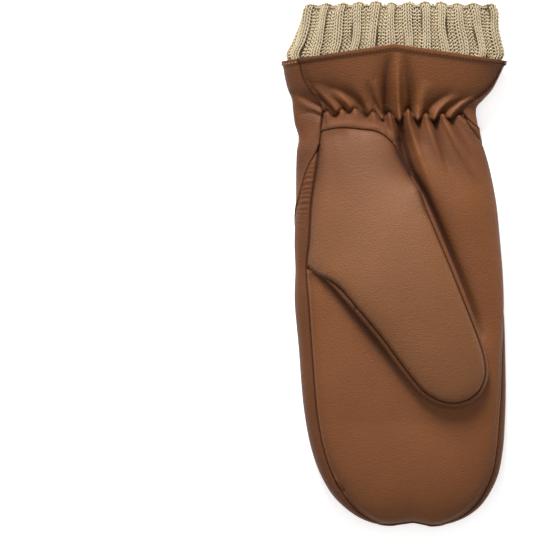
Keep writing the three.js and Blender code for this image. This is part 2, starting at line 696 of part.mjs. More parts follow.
function backPanelGeometry() {
  return panel(BODY, () => 0, (s) => s.backSeam - half, BACK_STEPS, BACK_CROWDING);
}

function gussetGeometry(isThumbSide) {
  const side = BODY.filter((s) => s.station < LAST_STATION / 2 === isThumbSide);
  const sections = side.filter((s, i) => s.hasGusset || side[i - 1]?.hasGusset || side[i + 1]?.hasGusset);
  const width = (s) => (s.hasGusset ? s.palmSeam - s.backSeam - SEAM_GAP : GUSSET_POINT);
  const middle = (s) => (s.palmSeam + s.backSeam) / 2;
  return panel(sections, (s) => middle(s) - width(s) / 2, (s) => middle(s) + width(s) / 2, GUSSET_STEPS);
}

// A knitted tube: its wall waves in and out with the ribs, so a rib outside is a valley inside.
function knitCuffGeometry() {
  const stepsPerRib = 4;
  const around = RIB_COUNT * stepsPerRib;
  const ringPoints = (section, offset) => {
    const middle = (section.left + section.right) / 2;
    const inward = RIB_DEPTH + KNIT / 2;
    const reach = (section.right - section.left) / 2 - inward;
    const widest = SECTIONS[0].widest;
    const oval = [];
    for (let k = 0; k <= 360; k += 1) {
      const turn = (k * Math.PI) / 180;
      const isPalm = k < 180;
      const power = 2 / (isPalm ? PALM_ROUND : BACK_ROUND);
      const end = isPalm ? section.top - inward : section.bottom + inward;
      const x = Math.sign(Math.cos(turn)) * Math.abs(Math.cos(turn)) ** power * reach;
      oval.push([x, mix(widest, end, Math.abs(Math.sin(turn)) ** power)]);
    }
    const at = lengths(oval);
    const points = [];
    for (let i = 0; i < around; i += 1) {
      const place = placeOf(at, (at[at.length - 1] * i) / around);
      const k = Math.min(Math.floor(place), 359);
      const [x, z] = [0, 1].map((axis) => mix(oval[k][axis], oval[k + 1][axis], place - k));
      const run = [oval[k + 1][0] - oval[k][0], oval[k + 1][1] - oval[k][1]];
      const length = Math.hypot(...run);
      const out = offset + RIB_DEPTH * Math.cos((2 * Math.PI * i) / stepsPerRib);
      points.push([middle + x + (run[1] / length) * out, section.y, z - (run[0] / length) * out]);
    }
    return points;
  };
  const turned = (offset) => {
    const rings = KNIT_SECTIONS.map((section) => ringPoints(section, offset));
    return rings[0].map((_, i) => rings.map((ring) => ring[i]));
  };
  return skin(turned(KNIT / 2), turned(-KNIT / 2), { ring: true });
}

// Materials and assembly

const leather = (color) => new THREE.MeshStandardMaterial({ color, roughness: 0.5, metalness: 0 });
const knit = new THREE.MeshStandardMaterial({ color: 0xcbbd98, roughness: 0.95, metalness: 0 });

function part(name, geometry, material) {
  const mesh = new THREE.Mesh(geometry, material);
  mesh.name = name;
  return mesh;
}

const group = new THREE.Group();
group.add(
  part('palm_panel', palmPanelGeometry(), leather(0x8a5a3e)),
  part('back_panel', backPanelGeometry(), leather(0x84553a)),
  part('thumb_side_gusset', gussetGeometry(true), leather(0x7e5036)),
  part('finger_side_gusset', gussetGeometry(false), leather(0x7e5036)),
  part('thumb_front', thumbFrontGeometry(), leather(0x936343)),
  part('thumb_underside', thumbUndersideGeometry(), leather(0x7e5036)),
  part('knit_cuff', knitCuffGeometry(), knit),
);

// The origin is the middle of the bottom of the whole mitten.
const box = new THREE.Box3().setFromObject(group);
const centre = box.getCenter(new THREE.Vector3());
for (const mesh of group.children) {
  mesh.position.set(-centre.x, -centre.y, -box.min.z);
}

export default group;
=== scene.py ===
# %% [markdown]
# # A leather mitten with a knitted cuff
#
# A right-hand mitten of smooth tan leather lies on its back on a pale floor, with the thumb folded
# over the palm. The gathered wrist, the seams and the rib knit are all surfaces that numpy works
# out as whole arrays. The measures are in millimetres, as a pattern cutter would write them, and
# become metres only when a mesh is made.

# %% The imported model
import bmesh
import bpy
import numpy as np
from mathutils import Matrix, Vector


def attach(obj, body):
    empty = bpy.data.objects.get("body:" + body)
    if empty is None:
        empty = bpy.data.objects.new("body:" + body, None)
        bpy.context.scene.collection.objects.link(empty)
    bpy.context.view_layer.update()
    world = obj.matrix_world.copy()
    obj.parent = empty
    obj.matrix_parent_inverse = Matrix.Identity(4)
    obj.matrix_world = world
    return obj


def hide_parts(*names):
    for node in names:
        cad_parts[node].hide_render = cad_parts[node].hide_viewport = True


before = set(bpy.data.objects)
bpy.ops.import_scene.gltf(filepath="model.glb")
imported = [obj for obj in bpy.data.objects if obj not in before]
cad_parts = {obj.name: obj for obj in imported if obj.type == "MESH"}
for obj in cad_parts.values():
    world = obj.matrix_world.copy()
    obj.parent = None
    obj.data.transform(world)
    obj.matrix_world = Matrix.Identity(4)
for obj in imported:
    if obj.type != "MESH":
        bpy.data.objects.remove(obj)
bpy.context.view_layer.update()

# %% [markdown]
# ## Floor, light and camera
#
# The mitten is seen from straight above, with a long lens, so that the raised thumb isn't drawn
# larger than the hand. A big soft light overhead with a stronger one from the cuff's side gives the
# leather its broad highlights, and the pale floor throws light back under the edges.

# %% Floor
MM = 0.001
FLOOR_SIZE = 6  # in metres


def node_material(name, recipe, wires=()):
    """A material from a recipe. It gives each node's type, properties and socket values, and each
    wire leads from a node's output to another node's input."""
    material = bpy.data.materials.new(name)
    material.use_nodes = True
    tree = material.node_tree
    made = {"shader": tree.nodes["Principled BSDF"]}
    for key, (kind, properties, values) in recipe.items():
        if key not in made:
            made[key] = tree.nodes.new("ShaderNode" + kind)
        for label, value in properties.items():
            setattr(made[key], label, value)
        for socket, value in values.items():
            made[key].inputs[socket].default_value = value
    for start, output, end, socket in wires:
        tree.links.new(made[start].outputs[output], made[end].inputs[socket])
    return material


bpy.ops.mesh.primitive_plane_add(size=FLOOR_SIZE, location=(0, 0, -0.0003))
floor = bpy.context.object
floor.name = "floor"
light_table = {
    "Base Color": (0.9, 0.9, 0.9, 1), "Roughness": 0.7,
    "Emission Color": (1, 1, 1, 1), "Emission Strength": 0.6,
}
floor.data.materials.append(
    node_material("light_table", {"shader": ("BsdfPrincipled", {}, light_table)}),
)
print(f"floor is {FLOOR_SIZE} m wide")


# %% Lights
def area_light(name, place, size, power, aim=(0, 0, 0)):
    """A square light at a place in metres that faces the aim."""
    light = bpy.data.lights.new(name, "AREA")
    light.size = size
    light.energy = power
    lamp = bpy.data.objects.new(name, light)
    lamp.location = place
    lamp.rotation_euler = (Vector(aim) - Vector(place)).to_track_quat("-Z", "Y").to_euler()
    bpy.context.collection.objects.link(lamp)
    return lamp


area_light("overhead", (0, 0.1, 1.5), 1.2, 5)
area_light("key", (-0.2, 1.18, 0.7), 0.45, 35)
area_light("fill", (-0.5, -0.8, 1.2), 1.5, 2)
world = bpy.data.worlds.new("studio")
bpy.context.scene.world = world
world.use_nodes = True
background = world.node_tree.nodes["Background"]
background.inputs["Color"].default_value = (1, 1, 1, 1)
background.inputs["Strength"].default_value = 0.25
bpy.context.scene.view_settings.view_transform = "Standard"

# %% Camera
FRAME_WIDTH = 288.9  # what the image shows across, in mm
CAMERA_AT = (-66.7, -3.9)  # the point under the camera, in mm
LENS = 600
SENSOR = 36
OUTLINE_HEIGHT = 10  # height of the mitten's widest line over the floor

camera = bpy.data.cameras.new("camera")
camera.lens = LENS
camera.sensor_width = SENSOR
camera.clip_end = 100
viewer = bpy.data.objects.new("camera", camera)
distance = FRAME_WIDTH * LENS / SENSOR + OUTLINE_HEIGHT
viewer.location = (CAMERA_AT[0] * MM, CAMERA_AT[1] * MM, distance * MM)
bpy.context.collection.objects.link(viewer)
bpy.context.scene.camera = viewer
print(f"camera {distance:.0f} mm over the floor")

# %% [markdown]
# ## The hand's shape in numbers
#
# A maker measures a mitten in sections across the hand. Each row holds where the outline is on
# both sides, how high the palm is, and how far in from the outline the seams run. Past the
# knuckles the sections turn round like the ribs of a fan. The rows are few, and a smooth curve
# runs through them, which is how a draughtsman's spline works.

# %% Sections
ORIGIN = np.array([1.518, -0.418, 0.0])  # from the drawing's zero to the middle of the mitten
SECTIONS = np.array([
    # y, y in the middle, left, right, crest, widest, palm left, palm right, back left, back right
    [108.2, 117.2, -61.8, 58.4, 26.2, 9.5, 8.5, 1, 8.5, 1],
    [100, 106.5, -60.4, 54.4, 23.8, 9.5, 9.1, 1, 9.1, 1],
    [93, 97, -58.6, 50.7, 21.5, 9.5, 11, 1.5, 11, 1.5],
    [88, 90, -56.5, 46.3, 19.5, 9.5, 13.2, 3, 13.2, 3],
    [83, 83.5, -56, 42.2, 18.2, 9.5, 15.2, 6, 15.2, 6],
    [75, 75, -55, 42.8, 19.3, 10, 13.8, 5, 13.8, 2],
    [67.4, 67.4, -52.9, 44.4, 21.8, 10.5, 10.8, 0.6, 10.8, -2],
    [60, 60, -53.9, 46.7, 23.8, 11, 11.2, -0.8, 9.5, -4],
    [50, 50, -54.3, 49.5, 25.4, 11, 10.3, -1.2, 5, -6],
    [32, 32, -54.4, 52.9, 27, 11, 7.7, -1.5, 0.5, -7],
    [10, 10, -54.7, 55.1, 27, 11, 6.7, -1, -4, -7],
    [-3, -3, -54.2, 56.2, 27, 11, 4.9, -0.5, -5, -7],
    [-20, -20, -54.6, 57, 27, 11, 6.6, -0.1, -5.5, -7],
    [-46, -46, -52.3, 57.3, 26.5, 11, 6.1, 0.5, -5.5, -7],
    [-70, -70, -50.5, 57.5, 26, 10.5, 6.1, 1.5, -5.5, -7],
    [-86, -86, -48.4, 57, 25, 10, 5.8, 2.2, -5.5, -7],
])
FINGERTIP = np.array([
    # angle, reach, palm seam, back seam, share of the gusset's width
    [195, 51.7, 5.5, -5.5, 1],
    [210, 52.4, 5, -5.5, 1],
    [225, 54.1, 4.2, -5, 1],
    [240, 55.2, 2.4, -5, 0.9],
    [252, 55.4, 1.6, -4, 0.5],
    [261, 54.5, 1.2, -4, 0.1],
    [270, 52.9, 1, -4, 0],
    [274.2, 52.6, 1, -4, 0],
    [279, 53.9, 1, -4, 0],
    [284.5, 56, 1, -4.5, 0.1],
    [292.5, 57.6, 1.2, -5, 0.4],
    [304, 58.9, 1.4, -6, 0.8],
    [315, 58.6, 1.8, -6, 1],
    [330, 56.2, 2.3, -7, 1],
    [345, 53.4, 2.4, -7, 1],
])
KNUCKLES = np.array([4.4, -86])  # middle of the rounded fingertip end
FINGERTIP_WIDEST = 10
LEATHER = 1.3  # thickness of the leather by itself
PALM_ROUND = 2.3  # power of the palm's superellipse
TIP_ROUND = 2.05  # the same round the fingertips
BACK_ROUND = 4
PRESSED_FLAT = 0.5
HEM_FOLD = 2.2  # width of the folded hem
HEM_SWELL = 0.5
HEM_STEP = 0.8  # the swell ends over this length
HEM_STITCH = 1.75  # from the edge to the stitches
LAST_ROW = len(SECTIONS) - 1
LAST_STATION = 2 * LAST_ROW + len(FINGERTIP) + 1
PROFILE_POINTS = 120  # on each side of the widest line

# %% [markdown]
# ## Curves and bumps
#
# A few short formulas shape everything here: a blend of two values, a step with soft ends, a
# rounded bump, a smooth curve through measured rows, and the quarter circle by which a sewn edge
# turns down into its seam.

# %% Helpers
def mix(a, b, t):
    """a at t = 0 and b at t = 1."""
    return a + (b - a) * t


def smoothstep(t):
    """Rises from 0 to 1 with level ends: 3t squared minus 2t cubed."""
    t = np.clip(t, 0, 1)
    return t * t * (3 - 2 * t)


def bell(distance, width):
    """A rounded bump that is 1 in the middle: e to the minus (distance / width) squared."""
    return np.exp(-((distance / width) ** 2))


def through(at, values, t):
    """A cubic curve through rows of numbers: its slope at a row is that between the row's two
    neighbours."""
    at, values = np.asarray(at, float), np.asarray(values, float)
    slope = np.empty_like(values)
    slope[1:-1] = (values[2:] - values[:-2]) / (at[2:] - at[:-2])
    slope[0] = (values[1] - values[0]) / (at[1] - at[0])
    slope[-1] = (values[-1] - values[-2]) / (at[-1] - at[-2])
    i = np.clip(np.searchsorted(at, t, side="left") - 1, 0, len(at) - 2)
    span = at[i + 1] - at[i]
    s = np.clip((t - at[i]) / span, 0, 1)
    start = values[i] * (1 + 2 * s) * (1 - s) ** 2 + span * slope[i] * s * (1 - s) ** 2
    end = values[i + 1] * s * s * (3 - 2 * s) - span * slope[i + 1] * s * s * (1 - s)
    return start + end


def running_length(points):
    """The length along a row of points, from 0 at the first one."""
    steps = np.linalg.norm(np.diff(points, axis=-2), axis=-1)
    return np.concatenate([np.zeros(steps.shape[:-1] + (1,)), np.cumsum(steps, axis=-1)], axis=-1)


def unit(vectors):
    """Vectors of length 1 in the same directions."""
    return vectors / np.linalg.norm(vectors, axis=-1, keepdims=True)


def seam_roll(distance, depth, radius):
    """A sewn edge turns down into its seam: a quarter circle that is level at the radius from the
    seam and upright at the seam."""
    t = np.clip(1 - distance / radius, 0, 1)
    return depth * (1 - np.sqrt(1 - t * t))


# %% Stations along the outline
angles = np.radians(FINGERTIP[:, 0])
tip_xy = KNUCKLES + FINGERTIP[:, 1:2] * np.column_stack([np.cos(angles), np.sin(angles)])
ones = np.ones(len(SECTIONS))
STATIONS = np.vstack([
    # x, y, widest, palm seam, back seam, share of the gusset's width
    np.column_stack([SECTIONS[:, [2, 0, 5, 6, 8]], ones]),
    np.column_stack([tip_xy, np.full(len(tip_xy), FINGERTIP_WIDEST), FINGERTIP[:, 2:]]),
    np.column_stack([SECTIONS[:, [3, 0, 5, 7, 9]], ones])[::-1],
])
STATION_AT = running_length(STATIONS[:, :2])
print(f"{len(STATIONS)} stations, {STATION_AT[-1]:.0f} mm round the outline")


def half_sections(stations):
    """Half-sections of the hand from the middle of the back round the outline to the middle of the
    palm: each half is a superellipse, |out|^p + |height|^p = 1, flattened below by the floor."""
    from_end = np.minimum(stations, LAST_STATION - stations)
    row = np.minimum(from_end, LAST_ROW)

    def read(values):
        return through(np.arange(LAST_ROW + 1), values, row)

    middle = np.column_stack([read((SECTIONS[:, 2] + SECTIONS[:, 3]) / 2), read(SECTIONS[:, 1])])
    crest = read(SECTIONS[:, 4])
    from_hem = SECTIONS[0, 0] - read(SECTIONS[:, 0])
    at = np.interp(stations, np.arange(len(STATIONS)), STATION_AT)
    x, y, widest = (through(STATION_AT, column, at) for column in STATIONS[:, :3].T)
    reach = np.hypot(x - middle[:, 0], y - middle[:, 1])
    outward = (np.column_stack([x, y]) - middle) / reach[:, None]

    k = np.arange(-PROFILE_POINTS, PROFILE_POINTS + 1)
    turn = np.pi / 2 * smoothstep(np.abs(k) / PROFILE_POINTS)
    round_tip = smoothstep((from_end - LAST_ROW + 0.5) / 3)
    power = 2 / np.where(k < 0, BACK_ROUND, mix(PALM_ROUND, TIP_ROUND, round_tip)[:, None])
    share_out = np.abs(np.cos(turn)) ** power
    share_out[:, [0, -1]] = 0
    lift = np.sin(turn) ** power

    def profile(inward):
        inward = np.broadcast_to(inward, reach.shape)
        out = (reach - inward)[:, None] * share_out
        drop = np.maximum(0, widest[:, None] * (1 - lift) - PRESSED_FLAT * lift)
        floor_side = mix(np.maximum(inward, 0)[:, None], widest[:, None], drop / widest[:, None])
        palm_side = mix(widest[:, None], (crest - inward)[:, None], lift)
        return out, np.where(k < 0, floor_side, palm_side)

    swell = HEM_SWELL * (1 - smoothstep((from_hem - HEM_FOLD) / HEM_STEP))
    out, z = profile(-swell)
    out_in, z_in = profile(LEATHER)
    arc = running_length(np.stack([out, z], axis=-1))
    return {
        "middle": middle, "outward": outward, "from_hem": from_hem, "at": at, "arc": arc,
        "out": out, "z": z, "out_in": out_in, "z_in": z_in, "crest": crest, "widest": widest,
        "inset": reach[:, None] - out,
    }


# %% [markdown]
# ## Seams
#
# A seam runs round the hand at a given depth in from the outline. Its running length along each
# half-section is worked out first, so that every panel can begin just where its neighbour ends.

# %% Seam lines
TUCK = 1.2  # palm and back meet this far below the outline where they join directly
NARROWEST_GUSSET = 0.5  # a narrower one ends, and palm and back are sewn to each other


def arc_at(sections, depth_in):
    """Running length from the outline to the place that lies depth_in mm further in: on the palm
    side where it is positive, and on the back where it is negative."""
    upper, lower = (
        [
            np.interp(abs(depth), inset[half], arc[half] - arc[PROFILE_POINTS])
            for depth, inset, arc in zip(depth_in, sections["inset"], sections["arc"])
        ]
        for half in (slice(PROFILE_POINTS, None), slice(PROFILE_POINTS, None, -1))
    )
    return np.where(depth_in >= 0, upper, lower)


station_sections = half_sections(np.arange(len(STATIONS)))
palm_depth, back_depth, gusset_width = STATIONS[:, 3:].T
SEAM_ARCS = np.column_stack([
    arc_at(station_sections, palm_depth) * gusset_width,
    arc_at(station_sections, np.minimum(back_depth, palm_depth)) * gusset_width,
    gusset_width,
])


def cross_sections(stations):
    """Half-sections with the running length at which the palm's seam and the back's seam lie."""
    sections = half_sections(stations)
    outline_at = sections["arc"][:, PROFILE_POINTS]
    palm, back, width = (through(STATION_AT, column, sections["at"]) for column in SEAM_ARCS.T)
    tuck = TUCK * (1 - np.clip(width, 0, 1))
    back = np.minimum(back, palm)
    merged = palm - back < NARROWEST_GUSSET
    palm_seam = outline_at - tuck + np.where(merged, (palm + back) / 2, palm)
    back_seam = np.where(merged, palm_seam, outline_at - tuck + back)
    return sections | {"merged": merged, "palm_seam": palm_seam, "back_seam": back_seam}


def surface(sections, arcs, sink):
    """Points at running lengths round each half-section, outside and inside, moved inwards by sink
    along the section's own normal."""
    index = np.arange(sections["arc"].shape[1])
    place = np.array([np.interp(a, arc, index) for a, arc in zip(arcs, sections["arc"])])

    def read(key):
        return np.array([np.interp(p, index, v) for p, v in zip(place, sections[key])])

    out, z, out_in, z_in = (read(key) for key in ("out", "z", "out_in", "z_in"))
    d_out, d_z = np.gradient(out, axis=1), np.gradient(z, axis=1)
    run = np.hypot(d_out, d_z) + 1e-9
    shift_out, shift_z = -sink * d_z / run, sink * d_out / run

    def points(o, h):
        xy = sections["middle"][:, None, :] + sections["outward"][:, None, :] * o[..., None]
        return np.dstack([xy, h])

    return points(out + shift_out, z + shift_z), points(out_in + shift_out, z_in + shift_z)


# %% [markdown]
# ## From a grid to leather
#
# A piece of leather has an outside, an inside and a cut edge. Each panel is a grid of points for
# the outside and another for the inside, and narrow walls close its borders and its openings. A
# closed body also has clear normals, which the light needs at the seams.

# %% Making a closed skin
MERGE = 2e-6  # points nearer than this, in metres, become one
GRID_ROUND = 1e6  # points are compared to a millionth of a metre
GRID_SHIFT = 0.031  # keeps round numbers away from where rounding changes


def skin_mesh(name, outside, inside, kept=None, ring=False, fields=None):
    """A closed shell between two grids of points in millimetres. Where a quad of the grid isn't
    kept, or at an open border, a narrow wall joins outside and inside. Where two borders of the
    grid meet, their points become one and the two walls there cancel out."""
    rows, columns = outside.shape[:2]
    total = rows * columns
    number = np.arange(total).reshape(rows, columns)
    if ring:
        number = np.vstack([number, number[:1]])
    kept = np.ones((number.shape[0] - 1, columns - 1), bool) if kept is None else kept
    corners = number[:-1, :-1], number[1:, :-1], number[1:, 1:], number[:-1, 1:]
    quads = np.stack(corners, -1)[kept]
    wide = np.pad(kept, 1)
    if ring:
        wide[0, 1:-1], wide[-1, 1:-1] = kept[-1], kept[0]

    def walls(p, q, forward):
        """Quads that join an edge of the outside, from p to q, to the same edge inside."""
        ahead = np.stack([p, q, q + total, p + total], -1)
        return np.where(forward[:, None], ahead, np.stack([q, p, p + total, q + total], -1))

    across = wide[1:, 1:-1] != wide[:-1, 1:-1]
    i, j = np.nonzero(across[:-1] if ring else across)
    row_walls = walls(number[i, j], number[i, j + 1], wide[i + 1, j + 1])
    i, j = np.nonzero(wide[1:-1, 1:] != wide[1:-1, :-1])
    column_walls = walls(number[i, j], number[i + 1, j], ~wide[i + 1, j + 1])
    faces = np.vstack([quads, quads[:, ::-1] + total, row_walls, column_walls])

    points = (np.vstack([outside.reshape(-1, 3), inside.reshape(-1, 3)]) + ORIGIN) * MM
    _, first, same = np.unique(
        np.round(points * GRID_ROUND + GRID_SHIFT), axis=0, return_index=True, return_inverse=True,
    )
    faces = first[same.ravel()][faces]
    _, number, count = np.unique(
        np.sort(faces, axis=1), axis=0, return_inverse=True, return_counts=True,
    )
    faces = faces[count[number.ravel()] == 1]
    repeated = faces == np.roll(faces, -1, axis=1)
    corners = 4 - repeated.sum(axis=1)
    used, faces = np.unique(faces, return_inverse=True)
    faces = faces.reshape(-1, 4)
    triangles = faces[corners == 3][~repeated[corners == 3]].reshape(-1, 3)
    mesh = bpy.data.meshes.new(name)
    mesh.from_pydata(points[used].tolist(), [], faces[corners == 4].tolist() + triangles.tolist())
    for key, values in (fields or {}).items():
        attribute = mesh.attributes.new(key, "FLOAT", "POINT")
        both = np.concatenate([values.ravel(), values.ravel()])[used]
        attribute.data.foreach_set("value", both.astype(np.float32))
    return finish_mesh(name, mesh)


def finish_mesh(name, mesh, merge=MERGE):
    """Merges points that are nearer than merge, drops faces without area, turns every face
    outwards and smooths the shading."""
    shell = bmesh.new()
    shell.from_mesh(mesh)
    bmesh.ops.remove_doubles(shell, verts=shell.verts, dist=merge)
    bmesh.ops.dissolve_degenerate(shell, edges=shell.edges, dist=merge / 2)
    bmesh.ops.recalc_face_normals(shell, faces=shell.faces)
    if shell.calc_volume(signed=True) < 0:
        bmesh.ops.reverse_faces(shell, faces=shell.faces)
    open_edges = sum(not edge.is_manifold for edge in shell.edges)
    shell.to_mesh(mesh)
    shell.free()
    mesh.shade_smooth()
    piece = bpy.data.objects.new(name, mesh)
    bpy.context.collection.objects.link(piece)
    triangles = sum(len(p.vertices) - 2 for p in mesh.polygons)
    print(f"{name}: {triangles} triangles, {open_edges} open edges")
    return piece


# %% [markdown]
# ## Folds of the gathered wrist
#
# A sewn-in elastic pulls the palm together at the wrist. The leather can't shrink, so it stands up
# in folds that fan out from the stitch line and fade. Each fold is a ridge or a valley along a
# bent line: its height falls off like a bell across the line and dies away along it. A cloth
# simulation would give other folds on each try, and these have to be where the mitten has them.

# %% Fold lines
ABOVE_ELASTIC = np.array([
    # from x, y, bend x, y, to x, y, lift, spread
    [-17.4, 78.9, -18.2, 90.7, -47.9, 97.1, -4, 2.8],
    [-27.6, 81.1, -30.5, 85.3, -36.6, 89.6, -1.8, 1],
    [-34, 80, -37.2, 85.9, -44.7, 89.6, -1.6, 1.1],
    [-8.3, 80, -13.9, 86.9, -16.3, 98.2, -2.3, 1.4],
    [-5.6, 78.9, -7.5, 94.4, -4, 112.1, -5.8, 2.4],
    [6.7, 81.1, 8.3, 92.3, 3.5, 112.1, -5, 2],
    [15.5, 80, 16.2, 85.9, 30.2, 91.8, -2.8, 1.7],
    [24.1, 80, 26.1, 84.5, 40.4, 90.1, -2.6, 1.3],
    [33.4, 79.4, 38, 81.9, 45.7, 88.5, -1.8, 0.9],
    [-30.8, 80, -36.1, 86.7, -45.7, 94.4, 1.9, 1.9],
    [-22.2, 80, -27.3, 88.5, -35.6, 92.8, 2.4, 2],
    [-14.7, 79.4, -18.5, 87.2, -22.2, 96, 1.6, 2.3],
    [-7.8, 76.8, -9.6, 87.5, -12.6, 98.2, 2.1, 2.4],
    [1.3, 76.2, -0.8, 92.6, 0.3, 112.1, 5.2, 2.2],
    [10.7, 76.8, 10.8, 86.9, 16.9, 97.1, 2.8, 3.3],
    [19.5, 76.8, 21.1, 84.3, 33.4, 89.6, 2.9, 2],
    [27.6, 77.8, 30, 84, 44.1, 89.1, 2.6, 1.6],
    [35, 78.4, 39.9, 82.4, 46.8, 87.5, 1.8, 1.2],
])
BELOW_ELASTIC = np.array([
    # from x, y, bend x, y, to x, y, lift, spread
    [5.6, 81.6, 5.1, 71.4, 21.7, 31.3, 3.9, 2.4],
    [15.2, 81.6, 18.7, 63.1, 31.8, 37.2, 3.6, 2.6],
    [24.1, 80.5, 30.4, 63.7, 42.5, 43.6, 3.3, 2.2],
    [33.4, 79.4, 36.6, 72.8, 44.1, 65, 2.5, 1.7],
    [-4.5, 80.5, -2.9, 72.8, 0.8, 59.7, 2.8, 1.8],
    [-13.1, 81.1, -12, 77.3, -8.8, 71.4, 1.2, 3],
    [-22.7, 82.7, -22.5, 80.2, -21.1, 74.6, 1.2, 3],
    [-29.7, 82.7, -29.2, 80.5, -28.6, 76.2, 1.2, 2.8],
    [-37.2, 81.6, -36.9, 78.9, -37.7, 74.1, 1, 2.6],
    [1.1, 75.7, 1.5, 69.3, 4.5, 54.3, -3, 2.4],
    [10.7, 76.2, 11.1, 71.7, 14.2, 59.7, -3.2, 1.7],
    [19.5, 76.2, 20.1, 71.2, 31.3, 32.9, -4.8, 2.1],
    [27.6, 77.3, 31.8, 69.3, 42.5, 52.7, -3, 1.6],
    [-7.8, 76.8, -6.7, 73.6, -3.5, 66.1, -1.7, 1.2],
    [-16.9, 78.4, -16.1, 76.8, -14.2, 73, -1.4, 1.3],
    [-26.5, 80.5, -25.9, 78.6, -25.4, 75.7, -1.2, 1.2],
    [-33.7, 78.9, -33.6, 77.8, -32.9, 74.6, -1.4, 1.1],
])
FINE_FOLDS = np.array([
    # from x, y, bend x, y, to x, y, lift, spread
    [-47.5, -4.6, -44, -5.5, -40, -9, -0.6, 0.7],
    [-47.5, -7, -44, -8, -40, -11.5, -0.5, 0.7],
    [-47, -9.5, -44, -11, -41, -14, -0.4, 0.7],
    [-47.5, -6, -44, -6.8, -39, -10.6, 0.6, 0.6],
    [-46.5, -12, -44, -13.5, -42, -17, -0.4, 0.8],
    [-29.2, -121.7, -28.6, -119.3, -25.9, -115.8, -1.2, 0.8],
    [-32.9, -114.8, -31.3, -118.2, -27.6, -120.6, 0.8, 1.1],
])
STRIP_FOLDS = np.array([
    # from x, y, bend x, y, to x, y, lift, spread
    [-40.9, 83.2, -50.8, 89.1, -57.5, 92.8, -1.3, 1.2],
    [-40.9, 80.8, -52.2, 85.7, -57, 89.1, 1.2, 1.7],
    [-41.5, 78.9, -47.9, 83.2, -54.3, 77.8, -0.9, 1.1],
    [-42.3, 74.6, -44.8, 67.1, -49, 57.5, 0.9, 2.4],
    [-47.3, 92.8, -51.6, 97.1, -53.8, 101.4, 0.6, 2.2],
])
ELASTIC = np.array([
    # the stitch line of the elastic, x, y: up over each puff and down at each lobe's tip
    [-41.5, 77.3], [-39.9, 80.5], [-37.5, 81.6], [-33.8, 78.6], [-29.7, 82.8], [-26.5, 80.4],
    [-22.7, 83.2], [-16.9, 78.2], [-13.1, 81.2], [-7.8, 76.2], [-4.7, 80.8], [1, 75.2],
    [5.6, 82.8], [10.7, 75.5], [15.2, 80.5], [19.4, 75.8], [24.1, 80.5], [27.8, 76.8],
    [32.8, 79.8], [36.1, 77.8], [39.3, 80.5],
])


def fold_field(x, y, folds):
    """Height of the folds at each place: lift times a bell of the distance to the fold's line for
    a ridge, or e to the minus distance for a sharper valley with a rounded bottom, times one minus
    the share along it to the power 1.5. The line is a curve from its start over its bend."""
    height = np.zeros_like(x)
    t = np.linspace(0, 1, 40)[:, None]
    for fold in folds:
        start, bend, end, (lift, spread) = fold[0:2], fold[2:4], fold[4:6], fold[6:]
        line = start * (1 - t) ** 2 + 2 * bend * t * (1 - t) + end * t * t
        low, high = line.min(0) - 3 * spread, line.max(0) + 3 * spread
        near = (x > low[0]) & (x < high[0]) & (y > low[1]) & (y < high[1])
        dx = x[near][:, None] - line[:, 0]
        dy = y[near][:, None] - line[:, 1]
        gap = np.hypot(dx, dy)
        nearest = gap.argmin(1)
        along = t[nearest, 0]
        gap = gap.min(1) / spread
        shape = np.exp(-(gap**2)) if lift > 0 else np.exp(0.35 - np.sqrt(gap**2 + 0.12))
        height[near] += lift * shape * (1 - along**1.5)
    return height


PUFF_ABOVE = 0.7  # the leather stands up a little just above the elastic


def gathers(x, y):
    """All folds of the wrist: those above the elastic end at it, and those below begin there."""
    line = np.interp(x, ELASTIC[:, 0], ELASTIC[:, 1])
    above = smoothstep((y - line) / 1.2 + 0.5)
    upper, lower = fold_field(x, y, ABOVE_ELASTIC), fold_field(x, y, BELOW_ELASTIC)
    return mix(lower, upper + PUFF_ABOVE * bell(y - line, 5), above)


def line_distance(x, y, line):
    """Shortest distance from each place to a bent line."""
    best = np.full(x.shape, 1e9)
    for a, b in zip(line[:-1], line[1:]):
        run = b - a
        share = np.clip(((x - a[0]) * run[0] + (y - a[1]) * run[1]) / (run @ run), 0, 1)
        best = np.minimum(best, np.hypot(x - a[0] - share * run[0], y - a[1] - share * run[1]))
    return best


def inside_outline(x, y, outline):
    """True where a ray to the right crosses the closed outline an odd number of times."""
    crossings = np.zeros(x.shape, int)
    for a, b in zip(outline, np.roll(outline, -1, axis=0)):
        if a[1] == b[1]:
            continue
        spans = (y >= min(a[1], b[1])) & (y < max(a[1], b[1]))
        crossings += spans & (x < a[0] + (y - a[1]) / (b[1] - a[1]) * (b[0] - a[0]))
    return crossings % 2 == 1


# %% [markdown]
# ## The thumb's lines
#
# The thumb is cut in two panels. Its free edge runs from the palm's top seam round the tip to the
# crotch, and each point of that edge faces a point of the thumb's axis.

